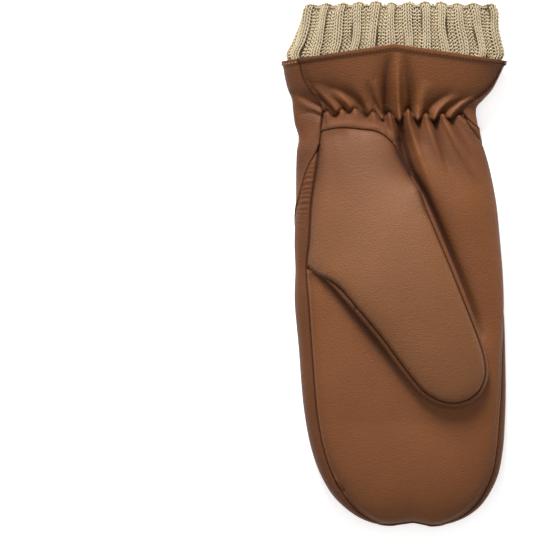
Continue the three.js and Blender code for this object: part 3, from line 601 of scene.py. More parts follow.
# %% Thumb lines
THUMB_EDGES = np.array([
    # along the axis, right x, y, left x, y
    [0, 7, 47.5, -46.6, -3.6],
    [0.15, 13.5, 36.5, -37.5, -9.6],
    [0.3, 19.5, 23.5, -28, -20],
    [0.45, 25.5, 9.2, -19, -30.5],
    [0.6, 31.5, -5.3, -10, -41.5],
    [0.75, 38, -22, -2, -52.5],
    [0.9, 43.9, -38.5, 6, -63],
    [1, 47.3, -50.5, 11.5, -69.2],
])
THUMB_TIP = np.array([
    [48.2, -60], [44.8, -69], [38.5, -74.3], [30.5, -76.7], [22, -75.5], [16.5, -72.8],
])
THUMB_LIFT = np.array([
    # along the axis, lift of the right edge over the palm, of the left edge
    [0, -0.6, -0.6], [0.1, 1.2, 2.8], [0.2, 2.5, 5], [0.36, 4.6, 6.7], [0.6, 6.2, 6.7],
    [1, 5.5, 5.5],
])
THUMB_TOP_SEAM = np.array([
    [-41.6, 70.4], [-34, 72], [-27.6, 72.3], [-19, 71.6], [-11.5, 70.4], [-5.5, 67],
    [-0.8, 61.3], [2.9, 54.5], [7, 47.5],
])
THUMB_AXIS = np.array([[-20, 42, 35.5], [29.5, -57.5, 38]])  # base and tip: x, y, crest
THUMB_BOW = 2.5
WELT_RIGHT, WELT_LEFT = 2.3, 2.4  # how far the seam lies in from the free edge
WELT_NICK = np.array([-23.5, -25.3])  # a small pinch in the rolled edge
THUMB_PUFF = 0.45
THUMB_FOLDS = np.array([
    # from x, y, bend x, y, to x, y, lift, spread
    [-32, 68, -31.5, 52, -22, 30, 0.8, 4.5],
    [-20, 69, -21, 55, -14, 40, -0.5, 3.5],
])
THUMB_CLEARANCE = 0.6
THUMB_HOLE_REACH = 0.3

edge_points = np.vstack([THUMB_EDGES[:, 1:3], THUMB_TIP, THUMB_EDGES[::-1, 3:5]])
edge_along = np.concatenate([THUMB_EDGES[:, 0], np.ones(len(THUMB_TIP)), THUMB_EDGES[::-1, 0]])
edge_at = running_length(edge_points)


def free_edge(side_count=170, tip_count=90):
    """Points along the thumb's free edge, the share of the axis that they face, the direction
    towards the thumb's inside, and how far in from the edge the seam lies: nothing at its two
    ends, and less beside the tip. Last comes the edge's height over the palm.
    Both sides face the same points of the axis."""
    k = len(THUMB_EDGES)
    share = np.linspace(0, 1, side_count)
    right = np.interp(share, THUMB_EDGES[:, 0], edge_at[:k])
    left = np.interp(share, THUMB_EDGES[:, 0], edge_at[-k:][::-1])[::-1]
    tip = np.linspace(edge_at[k - 1], edge_at[-k], tip_count)[1:-1]
    t = np.concatenate([right, tip, left])
    x, y = (through(edge_at, column, t) for column in edge_points.T)
    along = np.interp(t, edge_at, edge_along)
    dx, dy = np.gradient(x, t), np.gradient(y, t)
    run = np.hypot(dx, dy)
    past_tip = smoothstep((t - edge_at[k - 1]) / (edge_at[-k] - edge_at[k - 1]))
    inset = mix(WELT_RIGHT, WELT_LEFT, past_tip) * smoothstep((along - 0.06) / 0.2)
    inset *= 1 - 0.4 * bell(t - edge_at[k - 1], 22)
    lift_at, *lifts = THUMB_LIFT.T
    right_lift, left_lift = (through(lift_at, column, along) for column in lifts)
    lift = mix(right_lift, left_lift, past_tip)
    return np.column_stack([x, y]), along, np.column_stack([dy / run, -dx / run]), inset, lift


def smooth_line(points, count):
    """A smooth curve through a few points, at even steps."""
    at = running_length(points)
    t = np.linspace(0, at[-1], count)
    return np.column_stack([through(at, column, t) for column in points.T])


def thumb_axis(along):
    """The thumb's axis: a straight line with its crest bowed up like half a sine wave."""
    line = mix(THUMB_AXIS[0], THUMB_AXIS[1], np.asarray(along)[..., None])
    line[..., 2] += THUMB_BOW * np.sin(np.pi * np.asarray(along))
    return line


TOP_SEAM = smooth_line(THUMB_TOP_SEAM, 120)
hole_end = thumb_axis(THUMB_HOLE_REACH)[:2]
BESIDE_THUMB = np.array([
    [1.1, 75.7], [2, 66], [4.4, 55.4], [8.3, 45.7], [13.7, 36.1], [19, 25.4], [23.8, 14.7],
    [28.7, 4], [33, -6.7], [36.9, -17.4], [40.6, -29.2], [44.4, -39.9], [47, -47.3],
])
CREVICE = np.array([
    [1.2, 66], [3.2, 59.5], [5.6, 53], [8.4, 47.3], [14.6, 36.8], [20.6, 23.8], [26.6, 9.5],
    [32.6, -5], [39.1, -21.7], [45, -38.3],
])
UNDER_WELT = np.array([
    [-46, -4.6], [-37.6, -10.4], [-29.4, -20], [-20.4, -30.8], [-11.3, -42], [-3, -53.3],
    [5, -63.7],
])
THUMB_HOLE = np.vstack([
    [[-80, 70.4], [-80, -3.6], [-46.6, -3.6], [-44, -3], hole_end, [7, 44]], TOP_SEAM[::-1],
])

# %% Palm height
ROW_Y = SECTIONS[:, 0]
VALLEY_DEPTH = 6


def beside_thumb(x, y):
    """The valley along the thumb's right edge: deepest near its top, and gone at its ends."""
    gap = line_distance(x, y, BESIDE_THUMB) / 4.6
    depth = VALLEY_DEPTH * smoothstep((78 - y) / 14) * mix(0.7, 1, smoothstep((y + 5) / 45))
    depth = depth * smoothstep((y + 48) / 22)
    return -depth * np.exp(0.3 - np.sqrt(gap**2 + 0.09))


def palm_height(x, y, valley=1.0):
    """Height of the palm at a place beside or below the thumb, from the same superellipse. The
    thumb itself bridges the valley, so its own edges leave it out."""
    row = np.interp(-y, -ROW_Y, np.arange(LAST_ROW + 1))
    rows = np.arange(LAST_ROW + 1)
    middle = through(rows, (SECTIONS[:, 2] + SECTIONS[:, 3]) / 2, row)
    crest = through(rows, SECTIONS[:, 4], row)
    station = np.where(x < middle, row, LAST_STATION - row)
    at = np.interp(station, np.arange(len(STATIONS)), STATION_AT)
    edge_x = through(STATION_AT, STATIONS[:, 0], at)
    widest = through(STATION_AT, STATIONS[:, 2], at)
    share = np.clip(np.abs(x - middle) / np.abs(edge_x - middle), 0, 1)
    lift = (1 - share**PALM_ROUND) ** (1 / PALM_ROUND)
    height = mix(widest, crest, lift) + np.clip(2.5 * lift, 0, 1) * gathers(x, y)
    return height + valley * beside_thumb(x, y)


print("palm height at the thumb's crotch", palm_height(np.array([-46.6]), np.array([-3.6])))

# %% [markdown]
# ## Palm panel
#
# The palm is one piece of leather from the hem to the fingertips. Its grid has one row for each
# station of the outline and runs from the seam to the middle of the palm. The rows are dense at
# the wrist, where the folds are, and at the seam, where the edge turns down.

# %% Rows of the body
HEM_BAND = 106  # the hem above this y has twice as many rows as the wrist
WRIST_BAND = 62  # the wrist's dense rows end here


def body_stations(fine, plain, tip, fine_to=WRIST_BAND):
    """Stations with half a fine step in mm along y at the hem, a fine one from there to fine_to, a
    plain one along the hand, and a number of steps round the fingertips."""
    bands = [
        np.arange(ROW_Y[0], HEM_BAND, -fine / 2),
        np.arange(HEM_BAND, fine_to, -fine),
        np.arange(fine_to, ROW_Y[-1], -plain),
    ]
    rows = np.interp(-np.concatenate(bands), -ROW_Y, np.arange(LAST_ROW + 1))
    ends = np.linspace(LAST_ROW, LAST_STATION - LAST_ROW, tip)
    return np.concatenate([rows, ends, (LAST_STATION - rows)[::-1]])


def seam_steps(start, end, count, fine):
    """Running lengths from a seam to the middle: fixed small steps at the seam and even ones
    after them."""
    near = start[:, None] + np.asarray(fine)
    share = np.linspace(0, 1, count)[1:]
    return np.hstack([near, mix(near[:, -1:], end[:, None], share)])


def hem_fade(rows):
    """0 at the hem, where the seams lie flat, and 1 from 22 mm below it, as a smooth step."""
    return smoothstep(rows["from_hem"] / 22)[:, None]


def hem_edge_highlight(rows):
    """Half-strength painted highlight at the hem's folded edge, and none from 1.2 mm below it."""
    return 0.5 * (1 - smoothstep((rows["from_hem"][:, None] - 0.3) / 0.9))


# %% Palm grid
NEAR_SEAM = [0, 0.05, 0.15, 0.3, 0.5, 0.75, 1.0, 1.3, 1.7, 2.2, 2.8, 3.4]
SEAM_GAP = 0.05  # between a panel's edge and its seam
PUCKER_PITCH = 4.3
PUCKER_DEPTH = 0.18

palm_rows = cross_sections(body_stations(fine=0.45, plain=2.0, tip=110))
palm_start = palm_rows["palm_seam"] + SEAM_GAP
palm_arcs = seam_steps(palm_start, palm_rows["arc"][:, -1], 80, NEAR_SEAM)
from_seam = palm_arcs - palm_rows["palm_seam"][:, None]
seam_at = palm_rows["at"][:, None]
pucker = 0.5 + 0.5 * np.cos(2 * np.pi * (seam_at + 1.2 * np.sin(seam_at / 7.3)) / PUCKER_PITCH)
palm_sink = (
    seam_roll(from_seam, 1.3, 0.7)
    + hem_fade(palm_rows) * (0.5 * bell(from_seam, 3.4) + 0.35 * bell(from_seam - 2.2, 1.1))
    + PUCKER_DEPTH * pucker * hem_fade(palm_rows) * bell(from_seam - 1.4, 1.3)
)
palm_out, palm_in = surface(palm_rows, palm_arcs, palm_sink)
print("palm grid", palm_out.shape[:2])

# %% Folds, elastic and thumb seam on the palm
ELASTIC_DEPTH = 2.2
CREVICE_DEPTH = 2.2
HOLE_MARGIN = 1.2  # the palm reaches this far under the thumb's top seam

px, py = palm_out[..., 0], palm_out[..., 1]
widest, crest = palm_rows["widest"][:, None], palm_rows["crest"][:, None]
on_top = np.clip(2.5 * ((palm_out[..., 2] - widest) / (crest - widest)), 0, 1)
folds, valley = gathers(px, py), beside_thumb(px, py)
elastic_line = smooth_line(ELASTIC, 160)
elastic_distance = line_distance(px, py, elastic_line[::2])
groove = -ELASTIC_DEPTH * np.exp(-elastic_distance / 0.8) - 0.8 * bell(elastic_distance, 3)
thumb_distance = line_distance(px, py, TOP_SEAM[::3])
in_thumb = inside_outline(px, py, THUMB_HOLE)
thumb_edge = np.where(
    in_thumb,
    -1.4 - 1.6 * np.clip(thumb_distance, 0, 1),
    -seam_roll(thumb_distance, 0.75, 0.9) + 0.6 * bell(thumb_distance - 2.2, 1.6),
)
crevice = line_distance(px, py, CREVICE)
crevice_fade = smoothstep((70 - py) / 10) * mix(0.3, 1, smoothstep((py + 35) / 65))
crevice_fade *= smoothstep((py + 48) / 12)
height = on_top * (
    folds + valley + fold_field(px, py, FINE_FOLDS) + groove
    - CREVICE_DEPTH * bell(crevice, 1.6) * crevice_fade
) + thumb_edge
palm_out[..., 2] += height
palm_in[..., 2] += height
hole = in_thumb & (thumb_distance > HOLE_MARGIN)
quad_in_hole = hole[:-1, :-1] & hole[1:, 1:] & hole[1:, :-1] & hole[:-1, 1:]
print(f"folds from {folds.min():.1f} to {folds.max():.1f} mm")

# %% [markdown]
# ## Painted shade and highlight on the palm
#
# Painted shade darkens the palm where shade falls: in the hollows of the folds, in the crevice
# beside the thumb, under the thumb's rolled edge, beside the side seams and round the fingertips,
# towards the flare's ends, and in broad bands at the wrist. The seams, the elastic's stitch line
# and the hem's row of stitches are dark lines as well. A painted highlight pales the hem's folded
# edge and the palm's raised edge beside the seam. Each term is one such place, with its strength
# first and then its width in mm. Their sums go to the material as attributes of the surface, so
# that the colour follows the shape exactly.

# %% Painted shade and highlight on the palm
MOST_DARKENING = 1.25
shade_and_seam_terms = [
    # painted shade in the hollows of the folds and beside the thumb
    np.clip(-folds / 5.5 - valley / 7.5, 0, 0.75),
    # painted shade along the wrist, and towards both ends of the flare
    0.3 * bell(py - 76, 10),
    0.6 * smoothstep((np.abs(px - 8) - 22) / 34) * smoothstep((py - 80) / 8),
    # painted shade beside the side seams, and further in round the fingertips
    0.2 * bell(from_seam - 1, 4),
    0.3 * bell(from_seam, 7) * smoothstep((-85 - py) / 30),
    # painted shade in the crevice beside the thumb, which is wider near the wrist
    0.95 * bell(crevice, mix(1.4, 2.8, smoothstep((py - 38) / 20))) * crevice_fade,
    # painted shadow under the thumb's rolled edge
    0.75 * bell(line_distance(px, py, UNDER_WELT), 2.3) * smoothstep((py + 70) / 30),
    # painted shade over the thumb at the wrist, above the elastic on the other side, and below it
    # there
    0.3 * bell(py - 76, 6) * smoothstep(-px / 12),
    0.2 * bell(py - 90, 6) * smoothstep((px - 14) / 10),
    0.55 * bell(py - 59, 14) * smoothstep((px - 4) / 16 - (62 - py) / 14),
    # in the seams, at the elastic and in the hem's row of stitches
    bell(from_seam, 0.5),
    0.5 * bell(elastic_distance, 0.6),
    0.15 * bell(thumb_distance, 0.4),
    0.6 * bell(palm_rows["from_hem"][:, None] - HEM_STITCH, 0.35),
]
# painted highlight along the palm's raised edge beside the seam, strongest along the hand's right
# side below the wrist
on_right = smoothstep(px / 20) * smoothstep((70 - py) / 20)
seam_ridge_highlight = mix(0.3, 0.9, on_right) * bell(from_seam - 1.1, 0.45)
# the first attribute holds the painted shade and the seams' dark lines, the second the painted
# highlight
fields = {
    "shade_and_seams": np.clip(sum(shade_and_seam_terms), 0, MOST_DARKENING),
    "painted_highlight": np.clip(hem_edge_highlight(palm_rows) + seam_ridge_highlight, 0, 1),
}
palm = skin_mesh("palm_leather", palm_out, palm_in, kept=~quad_in_hole, fields=fields)

# %% [markdown]
# ## Back panel
#
# The back lies on the floor and is pressed flat. On the thumb side of the cuff it comes round to
# the front, where its seam with the palm shows.

# %% Back panel
UNDER_GUSSET = 0.6  # how far the back's edge reaches under a gusset

back_rows = cross_sections(body_stations(fine=0.6, plain=3.0, tip=90, fine_to=44))
back_start = back_rows["back_seam"] + np.where(back_rows["merged"], -SEAM_GAP, UNDER_GUSSET)
back_arcs = seam_steps(back_start, np.zeros(len(back_start)), 36, -np.array(NEAR_SEAM))
from_seam = back_rows["back_seam"][:, None] - back_arcs
back_sink = seam_roll(from_seam, 0.5, 0.8) + hem_fade(back_rows) * 0.2 * bell(from_seam, 2)
back_out, back_in = surface(back_rows, back_arcs, back_sink)
on_strip = (back_out[..., 0] < 0) * smoothstep((back_out[..., 2] - 9) / 2)
folded = on_strip * fold_field(back_out[..., 0], back_out[..., 1], STRIP_FOLDS)
back_out[..., 2] = np.maximum(back_out[..., 2] + folded, 0)
back_in[..., 2] += folded
back_y = back_rows["middle"][:, 1:]
# a dark line at the seam, stronger at the cuff, and painted shade on the strip that comes round to
# the front: at the cuff and in a band lower down
at_cuff = smoothstep((back_y - 68) / 8)
shade_and_seams = mix(0.3, 0.8, at_cuff) * bell(from_seam, 0.4) + 0.4 * at_cuff * on_strip
shade_and_seams = shade_and_seams + 0.55 * on_strip * bell(back_y - 56, 14)
fields = {"shade_and_seams": shade_and_seams, "painted_highlight": np.broadcast_to(hem_edge_highlight(back_rows), shade_and_seams.shape)}
back = skin_mesh("back_leather", back_out, back_in, fields=fields)

# %% [markdown]
# ## Gussets
#
# A strip of leather joins palm and back on each side, so that the mitten has depth. Each strip
# swells between its two seams and ends in a point at the wrist and at the fingertips.

# %% Gussets
GUSSET_GAP = 0.03
GUSSET_SWELL = 0.5
WRINKLE_PITCH = 2.7
WRINKLE_HEIGHT = 0.3


def gusset(name, is_thumb_side, steps=16):
    """The strip between the seams: rolled down at both of them, and swollen like half a sine wave
    between them. The thumb side has small wrinkles across the strip, a cosine along it."""
    stations = body_stations(0.6, 0.7 if is_thumb_side else 2.0, 120, fine_to=44)
    rows = cross_sections(stations)
    side = stations < LAST_STATION / 2 if is_thumb_side else stations > LAST_STATION / 2
    keep = side & ~rows["merged"]
    keep = side & (keep | np.roll(keep, 1) | np.roll(keep, -1))
    rows = {key: value[keep] for key, value in rows.items()}
    low, high = rows["back_seam"][:, None], rows["palm_seam"][:, None]
    wide = high - low
    share = (1 - np.cos(np.linspace(0, np.pi, steps))) / 2
    arcs = mix(low + GUSSET_GAP, high - GUSSET_GAP, share)
    swell = np.sin(np.pi * share)
    palm_gap, back_gap = (1 - share) * wide, share * wide
    radius = np.clip(wide / 2, 0.1, 1.2)
    sink = (
        seam_roll(palm_gap, 1.2, radius) + seam_roll(back_gap, 0.45, radius)
        + hem_fade(rows) * (0.5 * bell(palm_gap, 2.5) + 0.2 * bell(back_gap, 2))
        - GUSSET_SWELL * swell * np.clip(wide / 5, 0, 1)
    ) * np.clip(wide, 0, 1)
    y, at = rows["middle"][:, 1:], rows["at"][:, None]
    # a dark line at each seam, and painted shade: over all of the thumb-side strip and in the
    # troughs of its wrinkles, and on the other strip towards the fingertips beside the palm's seam
    dark = bell(palm_gap, 0.5) + 0.25 * bell(back_gap, 0.4)
    if is_thumb_side:
        wrinkled = bell(y - 38, 15)
        wander = at + 0.5 * np.sin(at / 1.9)
        wrinkles = np.cos(2 * np.pi * wander / WRINKLE_PITCH + 2 * share)
        sink = sink + WRINKLE_HEIGHT * wrinkled * swell * wrinkles
        dark = dark + 0.25 + 0.35 * wrinkled * np.clip(wrinkles, 0, 1)
    else:
        dark = dark + 0.45 * smoothstep((60 - y) / 60) * bell(palm_gap, 3)
    outside, inside = surface(rows, arcs, sink)
    return skin_mesh(name, outside, inside, fields={"shade_and_seams": np.clip(dark, 0, 1)})


thumb_gusset = gusset("thumb_gusset_leather", True)
finger_gusset = gusset("finger_gusset_leather", False)

# %% [markdown]
# ## Thumb
#
# The front panel of the thumb is a puffed dome over its axis. The lower panel rolls up round the
# free edge and meets the front in a seam a little way in, which shows as a narrow welt. The dome
# is worked out as a film, like a soap film over the thumb's outline, first hanging in it and then
# blown up, because it then meets the outline everywhere and has no bump of its own.

# %% Film over an outline
FILM_STEPS = (4.0, 2.0, 1.0)  # in mm
FILM_PASSES = 300
FILM_MARGIN = 4


def sample(grid, u, v):
    """Reads a grid between its points: a mean of the four around the place, by nearness."""
    i = np.clip(u.astype(int), 0, grid.shape[0] - 2)
    j = np.clip(v.astype(int), 0, grid.shape[1] - 2)
    u, v = np.clip(u - i, 0, 1), np.clip(v - j, 0, 1)
    return mix(mix(grid[i, j], grid[i, j + 1], v), mix(grid[i + 1, j], grid[i + 1, j + 1], v), u)


def film_height(outline, load):
    """A film stretched over the outline: every point settles to the mean of its four neighbours
    plus its load. It starts on a coarse grid, and each finer grid starts from the last one.
    A load of 0 gives the film that hangs in the outline's own heights, and another a blown-up
    one. Returns the finest grid and its corner."""
    low = outline[:, :2].min(0) - FILM_MARGIN
    high = outline[:, :2].max(0) + FILM_MARGIN
    held = outline[::4]
    grid = None
    for step in FILM_STEPS:
        x, y = np.meshgrid(*(np.arange(a, b, step) for a, b in zip(low, high)), indexing="ij")
        inside = inside_outline(x, y, outline[:, :2])
        nearest = np.hypot(x[..., None] - held[:, 0], y[..., None] - held[:, 1]).argmin(-1)
        border = held[nearest, 2]
        if grid is None:
            grid = border.copy()
        else:
            grid = sample(grid, (x - low[0]) / (2 * step), (y - low[1]) / (2 * step))
        for _ in range(FILM_PASSES):
            mean = sum(np.roll(grid, by, axis) for axis in (0, 1) for by in (1, -1)) / 4
            grid = np.where(inside, mean + load * step * step, border)
    return grid, low


# %% Rim of the thumb's front
THUMB_TUCK = 0.35  # the front's rim lies this far under the palm's edge


def bridged(edge, along):
    """How far the thumb's edge dips into the valley beside it: fully at its upper end."""
    return (1 - smoothstep(along / 0.12)) * (edge[:, 0] > -10)


def thumb_rim():
    """The front panel's rim: free edge, side seam, and the seam over the thumb, as x, y, z and the
    share of the axis that each point faces."""
    edge, along, inward, inset, lift = free_edge()
    xy = edge + inward * (inset + SEAM_GAP)[:, None]
    z = palm_height(edge[:, 0], edge[:, 1], bridged(edge, along)) + lift
    rows = cross_sections(np.linspace(LAST_ROW, 5, 900))
    arcs = rows["palm_seam"][:, None] + np.array([[SEAM_GAP, 0.5]])
    side = surface(rows, arcs, np.full(arcs.shape, 1.2))[0][:, 0]
    side = side[(side[:, 1] > -1.6) & (side[:, 1] < 70)]
    side = side[:: max(1, len(side) // 110)]
    top = TOP_SEAM[3:-3]
    top_z = palm_height(top[:, 0], top[:, 1]) - THUMB_TUCK
    return np.vstack([
        np.column_stack([xy, z, along]),
        np.column_stack([side, np.zeros(len(side))]),
        np.column_stack([top, top_z, np.zeros(len(top))]),
    ])


# %% Thumb front
LOAD = 0.25
NEAR_RIM = [0, 0.002, 0.006, 0.012, 0.02, 0.03, 0.042]

rim = thumb_rim()
hanging, corner = film_height(rim[:, :3], 0)
blown, _ = film_height(rim[:, :3] * [1, 1, 0], LOAD)
axis = thumb_axis(rim[:, 3])
share = np.concatenate([NEAR_RIM, np.linspace(0.056, 1, 56) ** 1.1])[None, :]
across = np.hypot(*(axis[:, :2] - rim[:, :2]).T)[:, None]
from_seam = share * across
front_xy = mix(rim[:, None, :2], axis[:, None, :2], share[..., None])
u, v = front_xy[..., 0] - corner[0], front_xy[..., 1] - corner[1]
level = sample(hanging, u, v)
level += (rim[:, 2:3] - level[:, :1]) * (1 - smoothstep(from_seam / 5))
puff = np.sqrt(np.maximum(sample(blown, u, v), 0))
puff *= smoothstep(from_seam / 1.5)
front_z = level + THUMB_PUFF * puff + fold_field(front_xy[..., 0], front_xy[..., 1], THUMB_FOLDS)
front_z -= seam_roll(from_seam, 0.7, 0.9)
front_out = np.dstack([front_xy, front_z])
front_in = front_out - [0, 0, LEATHER]
upper_right = smoothstep((rim[:, 1] - 22) / 14) * smoothstep((rim[:, 0] + 5) / 6)
left_side = smoothstep((-24 - rim[:, 0]) / 6)
shade_and_seam_terms = [
    # a dark line in the seams, and painted shade beside the crevice on the thumb's upper right
    0.4 * bell(from_seam, 0.35),
    (0.6 * bell(from_seam, 2.4) + 0.25 * bell(from_seam, 9)) * upper_right[:, None],
    # painted shade towards the wrist, and beside the seam on the left
    0.42 * smoothstep((front_xy[..., 1] - 28) / 28),
    0.5 * (bell(from_seam, 4.6) * left_side[:, None]),
]
thumb_front = skin_mesh(
    "thumb_front_leather", front_out, front_in, ring=True, fields={"shade_and_seams": sum(shade_and_seam_terms)},
)
print(f"thumb crest at {front_z.max():.1f} mm")


# %% Thumb underside
def underside(wall):
    """From the seam out over the rolled edge, down, and in over the palm, as two quarter ellipses
    and a flat stretch. The wall is how far inside the leather's outer face the surface lies."""
    free = free_edge()
    edge, along, inward, inset, lift = (values[free[1] > 0.01] for values in free)
    is_right = np.arange(len(edge)) < np.argmax(along >= 1)
    t = np.clip(along / THUMB_HOLE_REACH, 0, 1)[:, None]
    start = np.where(is_right[:, None], THUMB_EDGES[0, 1:3], THUMB_EDGES[0, 3:5])
    goal = np.where(t < 1, mix(start, hole_end, t), thumb_axis(along)[:, :2])
    across = np.linalg.norm(goal - edge, axis=1)[:, None]
    toward = (goal - edge) / across
    inset = np.maximum(inset - SEAM_GAP, 0.2)[:, None]
    valley = bridged(edge, along)[:, None]
    palm_z = palm_height(edge[:, 0], edge[:, 1], valley[:, 0])[:, None]
    seam = palm_z + lift[:, None] - wall
    ground = palm_z + THUMB_CLEARANCE + wall
    widest = (seam + ground) / 2

    def over_palm(out):
        """Places that are out mm from the edge towards the axis, and the panel's height there."""
        xy = edge[:, None] + toward[:, None] * out[..., None]
        return xy, palm_height(xy[..., 0], xy[..., 1], valley) + THUMB_CLEARANCE + wall

    turn = np.linspace(0, np.pi / 2, 14)[None, :]
    tuck = np.minimum(wall, inset)
    out = tuck + (inset - tuck) * (1 - np.sin(turn))
    z = mix(widest, seam, np.cos(turn) ** 0.8)
    z = z - seam_roll(inset - out, 0.7, 0.7) * (wall == 0)
    z = z - 1.2 * bell(np.hypot(*(edge - WELT_NICK).T), 0.8)[:, None]
    upper = np.dstack([edge[:, None] + inward[:, None] * out[..., None], z])
    roll = np.minimum(7, across)
    turn = np.linspace(0, np.pi / 2, 8)[None, 1:]
    xy, below = over_palm(wall + (roll - wall) * (1 - np.cos(turn)))
    lower = np.dstack([xy, mix(widest, below, np.sin(turn))])
    flat = np.dstack(over_palm(mix(roll, across, np.linspace(0, 1, 12)[None, 1:])))
    return np.hstack([upper, lower, flat])


under_out, under_in = underside(0), underside(LEATHER)
upper_right = smoothstep(under_out[:, :1, 1] / 40) * (under_out[:, :1, 0] > 0)
# a dark line at the seam, and painted shade over all of the rolled edge, more on its upper right
under_shade_and_seam = 0.4 * bell(running_length(under_out), 0.35) + 0.4 * upper_right + 0.3
thumb_under = skin_mesh(
    "thumb_underside_leather", under_out, under_in, fields={"shade_and_seams": under_shade_and_seam},
)

# %% [markdown]
# ## Stitches
#
# The hem is folded in and topstitched, the thumb's top seam is sewn with a thicker thread, and the
# elastic is caught by small stitches. Each stitch is a short rod with rounded ends, half sunk into
# the leather. One rod is worked out once and set down along the seam's line by whole arrays.


# %% Rods for stitches
ROD_RINGS, ROD_SIDES = 7, 6


def stitches(name, path, up, pitch, length, radius):
    """Rods along a path: a rod's radius at the share u of its length is radius * sin(pi u)^0.6."""
    at = running_length(path)
    centre_at = np.arange(pitch / 2, at[-1], pitch)

    def read(values, where):
        return np.column_stack([np.interp(where, at, column) for column in values.T])

    centre, normal = read(path, centre_at), read(up, centre_at)
    along = unit(read(path, centre_at + 0.3) - read(path, centre_at - 0.3))
    side = np.cross(normal, along)
    u = np.linspace(0, 1, ROD_RINGS)[:, None, None]
    v = np.linspace(0, 2 * np.pi, ROD_SIDES, endpoint=False)[:, None]
    thick = radius * np.sin(np.pi * u) ** 0.6
    rods = (
        centre[:, None, None] + along[:, None, None] * (u - 0.5) * length
        + (side[:, None, None] * np.cos(v) + normal[:, None, None] * np.sin(v)) * thick
    )
    number = np.arange(rods[..., 0].size).reshape(rods.shape[:3])
    ring = np.roll(number, -1, axis=2)
    faces = np.stack([number[:, :-1], number[:, 1:], ring[:, 1:], ring[:, :-1]], -1)
    mesh = bpy.data.meshes.new(name)
    points = (rods.reshape(-1, 3) + ORIGIN) * MM
    mesh.from_pydata(points.tolist(), [], faces.reshape(-1, 4).tolist())
    return finish_mesh(name, mesh)


def straight_up(line):
    """The upward direction for each point of a line."""
    return np.tile([0.0, 0.0, 1.0], (len(line), 1))


# %% Hem stitches
HEM_THREAD = {"pitch": 1.8, "length": 1.35, "radius": 0.33}
PATH_POINTS = 160
PATH_SINK = 0.05  # the rods' middles lie this deep in the leather


def hem_path(on_back):
    """The line of the hem's topstitch, with the direction out of the leather."""
    row = np.interp(-(ROW_Y[0] - HEM_STITCH), -ROW_Y, np.arange(LAST_ROW + 1))
    rows = cross_sections(np.array([row, LAST_STATION - row]))
    if on_back:
        start, end = rows["back_seam"] - 0.6, 0 * rows["back_seam"]
    else:
        start, end = rows["palm_seam"] + 0.6, rows["arc"][:, -1]
    arcs = np.linspace(start, end, PATH_POINTS, axis=1)
    on, over = (surface(rows, arcs, np.full(arcs.shape, sink))[0] for sink in (PATH_SINK, -0.95))
    path, outer = (np.vstack([line[0], line[1, ::-1][1:]]) for line in (on, over))
    up = unit(outer - path)
    if not on_back:
        path[:, 2] += gathers(path[:, 0], path[:, 1]) * np.clip((path[:, 2] - 12) / 5, 0, 1)
    path[:, 2] = np.maximum(path[:, 2], HEM_THREAD["radius"] + 0.02)
    return path, up


hem_line, hem_up = hem_path(False)
hem_stitches = stitches("hem_stitches", hem_line, hem_up, **HEM_THREAD)
back_line, back_up = hem_path(True)
on_left = (back_line[:, 0] < 0) & (back_line[:, 2] > 9)
ochre_stitches = stitches(
    "hem_stitches_ochre", back_line[on_left], back_up[on_left], pitch=2, length=1.3, radius=0.26,
)
back_stitches = stitches(
    "hem_stitches_back", back_line[~on_left], back_up[~on_left], **HEM_THREAD,
)

# %% Stitches of the thumb's top seam and of the elastic
thumb_z = palm_height(TOP_SEAM[:, 0], TOP_SEAM[:, 1]) - 0.4
thumb_line = np.column_stack([TOP_SEAM + [0, 0.25], thumb_z])[TOP_SEAM[:, 0] < -2.5]
thumb_stitches = stitches(
    "thumb_stitches", thumb_line, straight_up(thumb_line), pitch=2.3, length=1.6, radius=0.34,
)
tips = elastic_line[3:-3]
tip_line = np.column_stack([tips, palm_height(tips[:, 0], tips[:, 1]) - ELASTIC_DEPTH])
elastic_stitches = stitches(
    "elastic_stitches", tip_line, straight_up(tip_line), pitch=2.1, length=1.5, radius=0.25,
)

# %% [markdown]
# ## Knitted cuff
#
# The cuff is a 2 by 2 rib: two columns of knit stitches stand out, the next two are purl and lie
# back. One yarn runs round in each course. Its path is the knitter's loop: it swings up and down
# once for each stitch, and out and in twice, and a purl stitch swings in where a knit one swings
# out. Neighbouring courses hook into each other by themselves.

# %% Knit surface
KNIT_SECTIONS = np.array([
    # y, left, right, top, bottom
    [101, -57.5, 51.5, 19, 2.5],
    [108.5, -59.6, 56.8, 20.6, 2.5],
    [112, -60.4, 59.2, 20.4, 2.4],
    [118, -57.6, 58, 19.6, 2.3],
    [127, -54.7, 55.8, 18.6, 1.2],
    [134.5, -53.1, 55.4, 17.8, 0.4],
    [139.6, -50.6, 53.6, 16.8, 0.2],
])
RIBS = 24
WALES = 4 * RIBS
COURSE = 1.8  # height of a course
YARN = 0.44  # radius of the yarn
RIB_RISE = 1.2
KNIT_WALL = 2.0
KNIT_WIDEST = 9.5  # height of the cuff's widest line over the floor
TURN_STEPS = 720  # steps round a ring by angle
EVEN_STEPS = 1440  # steps round a ring by length
TURNS_SOFTENED = 30


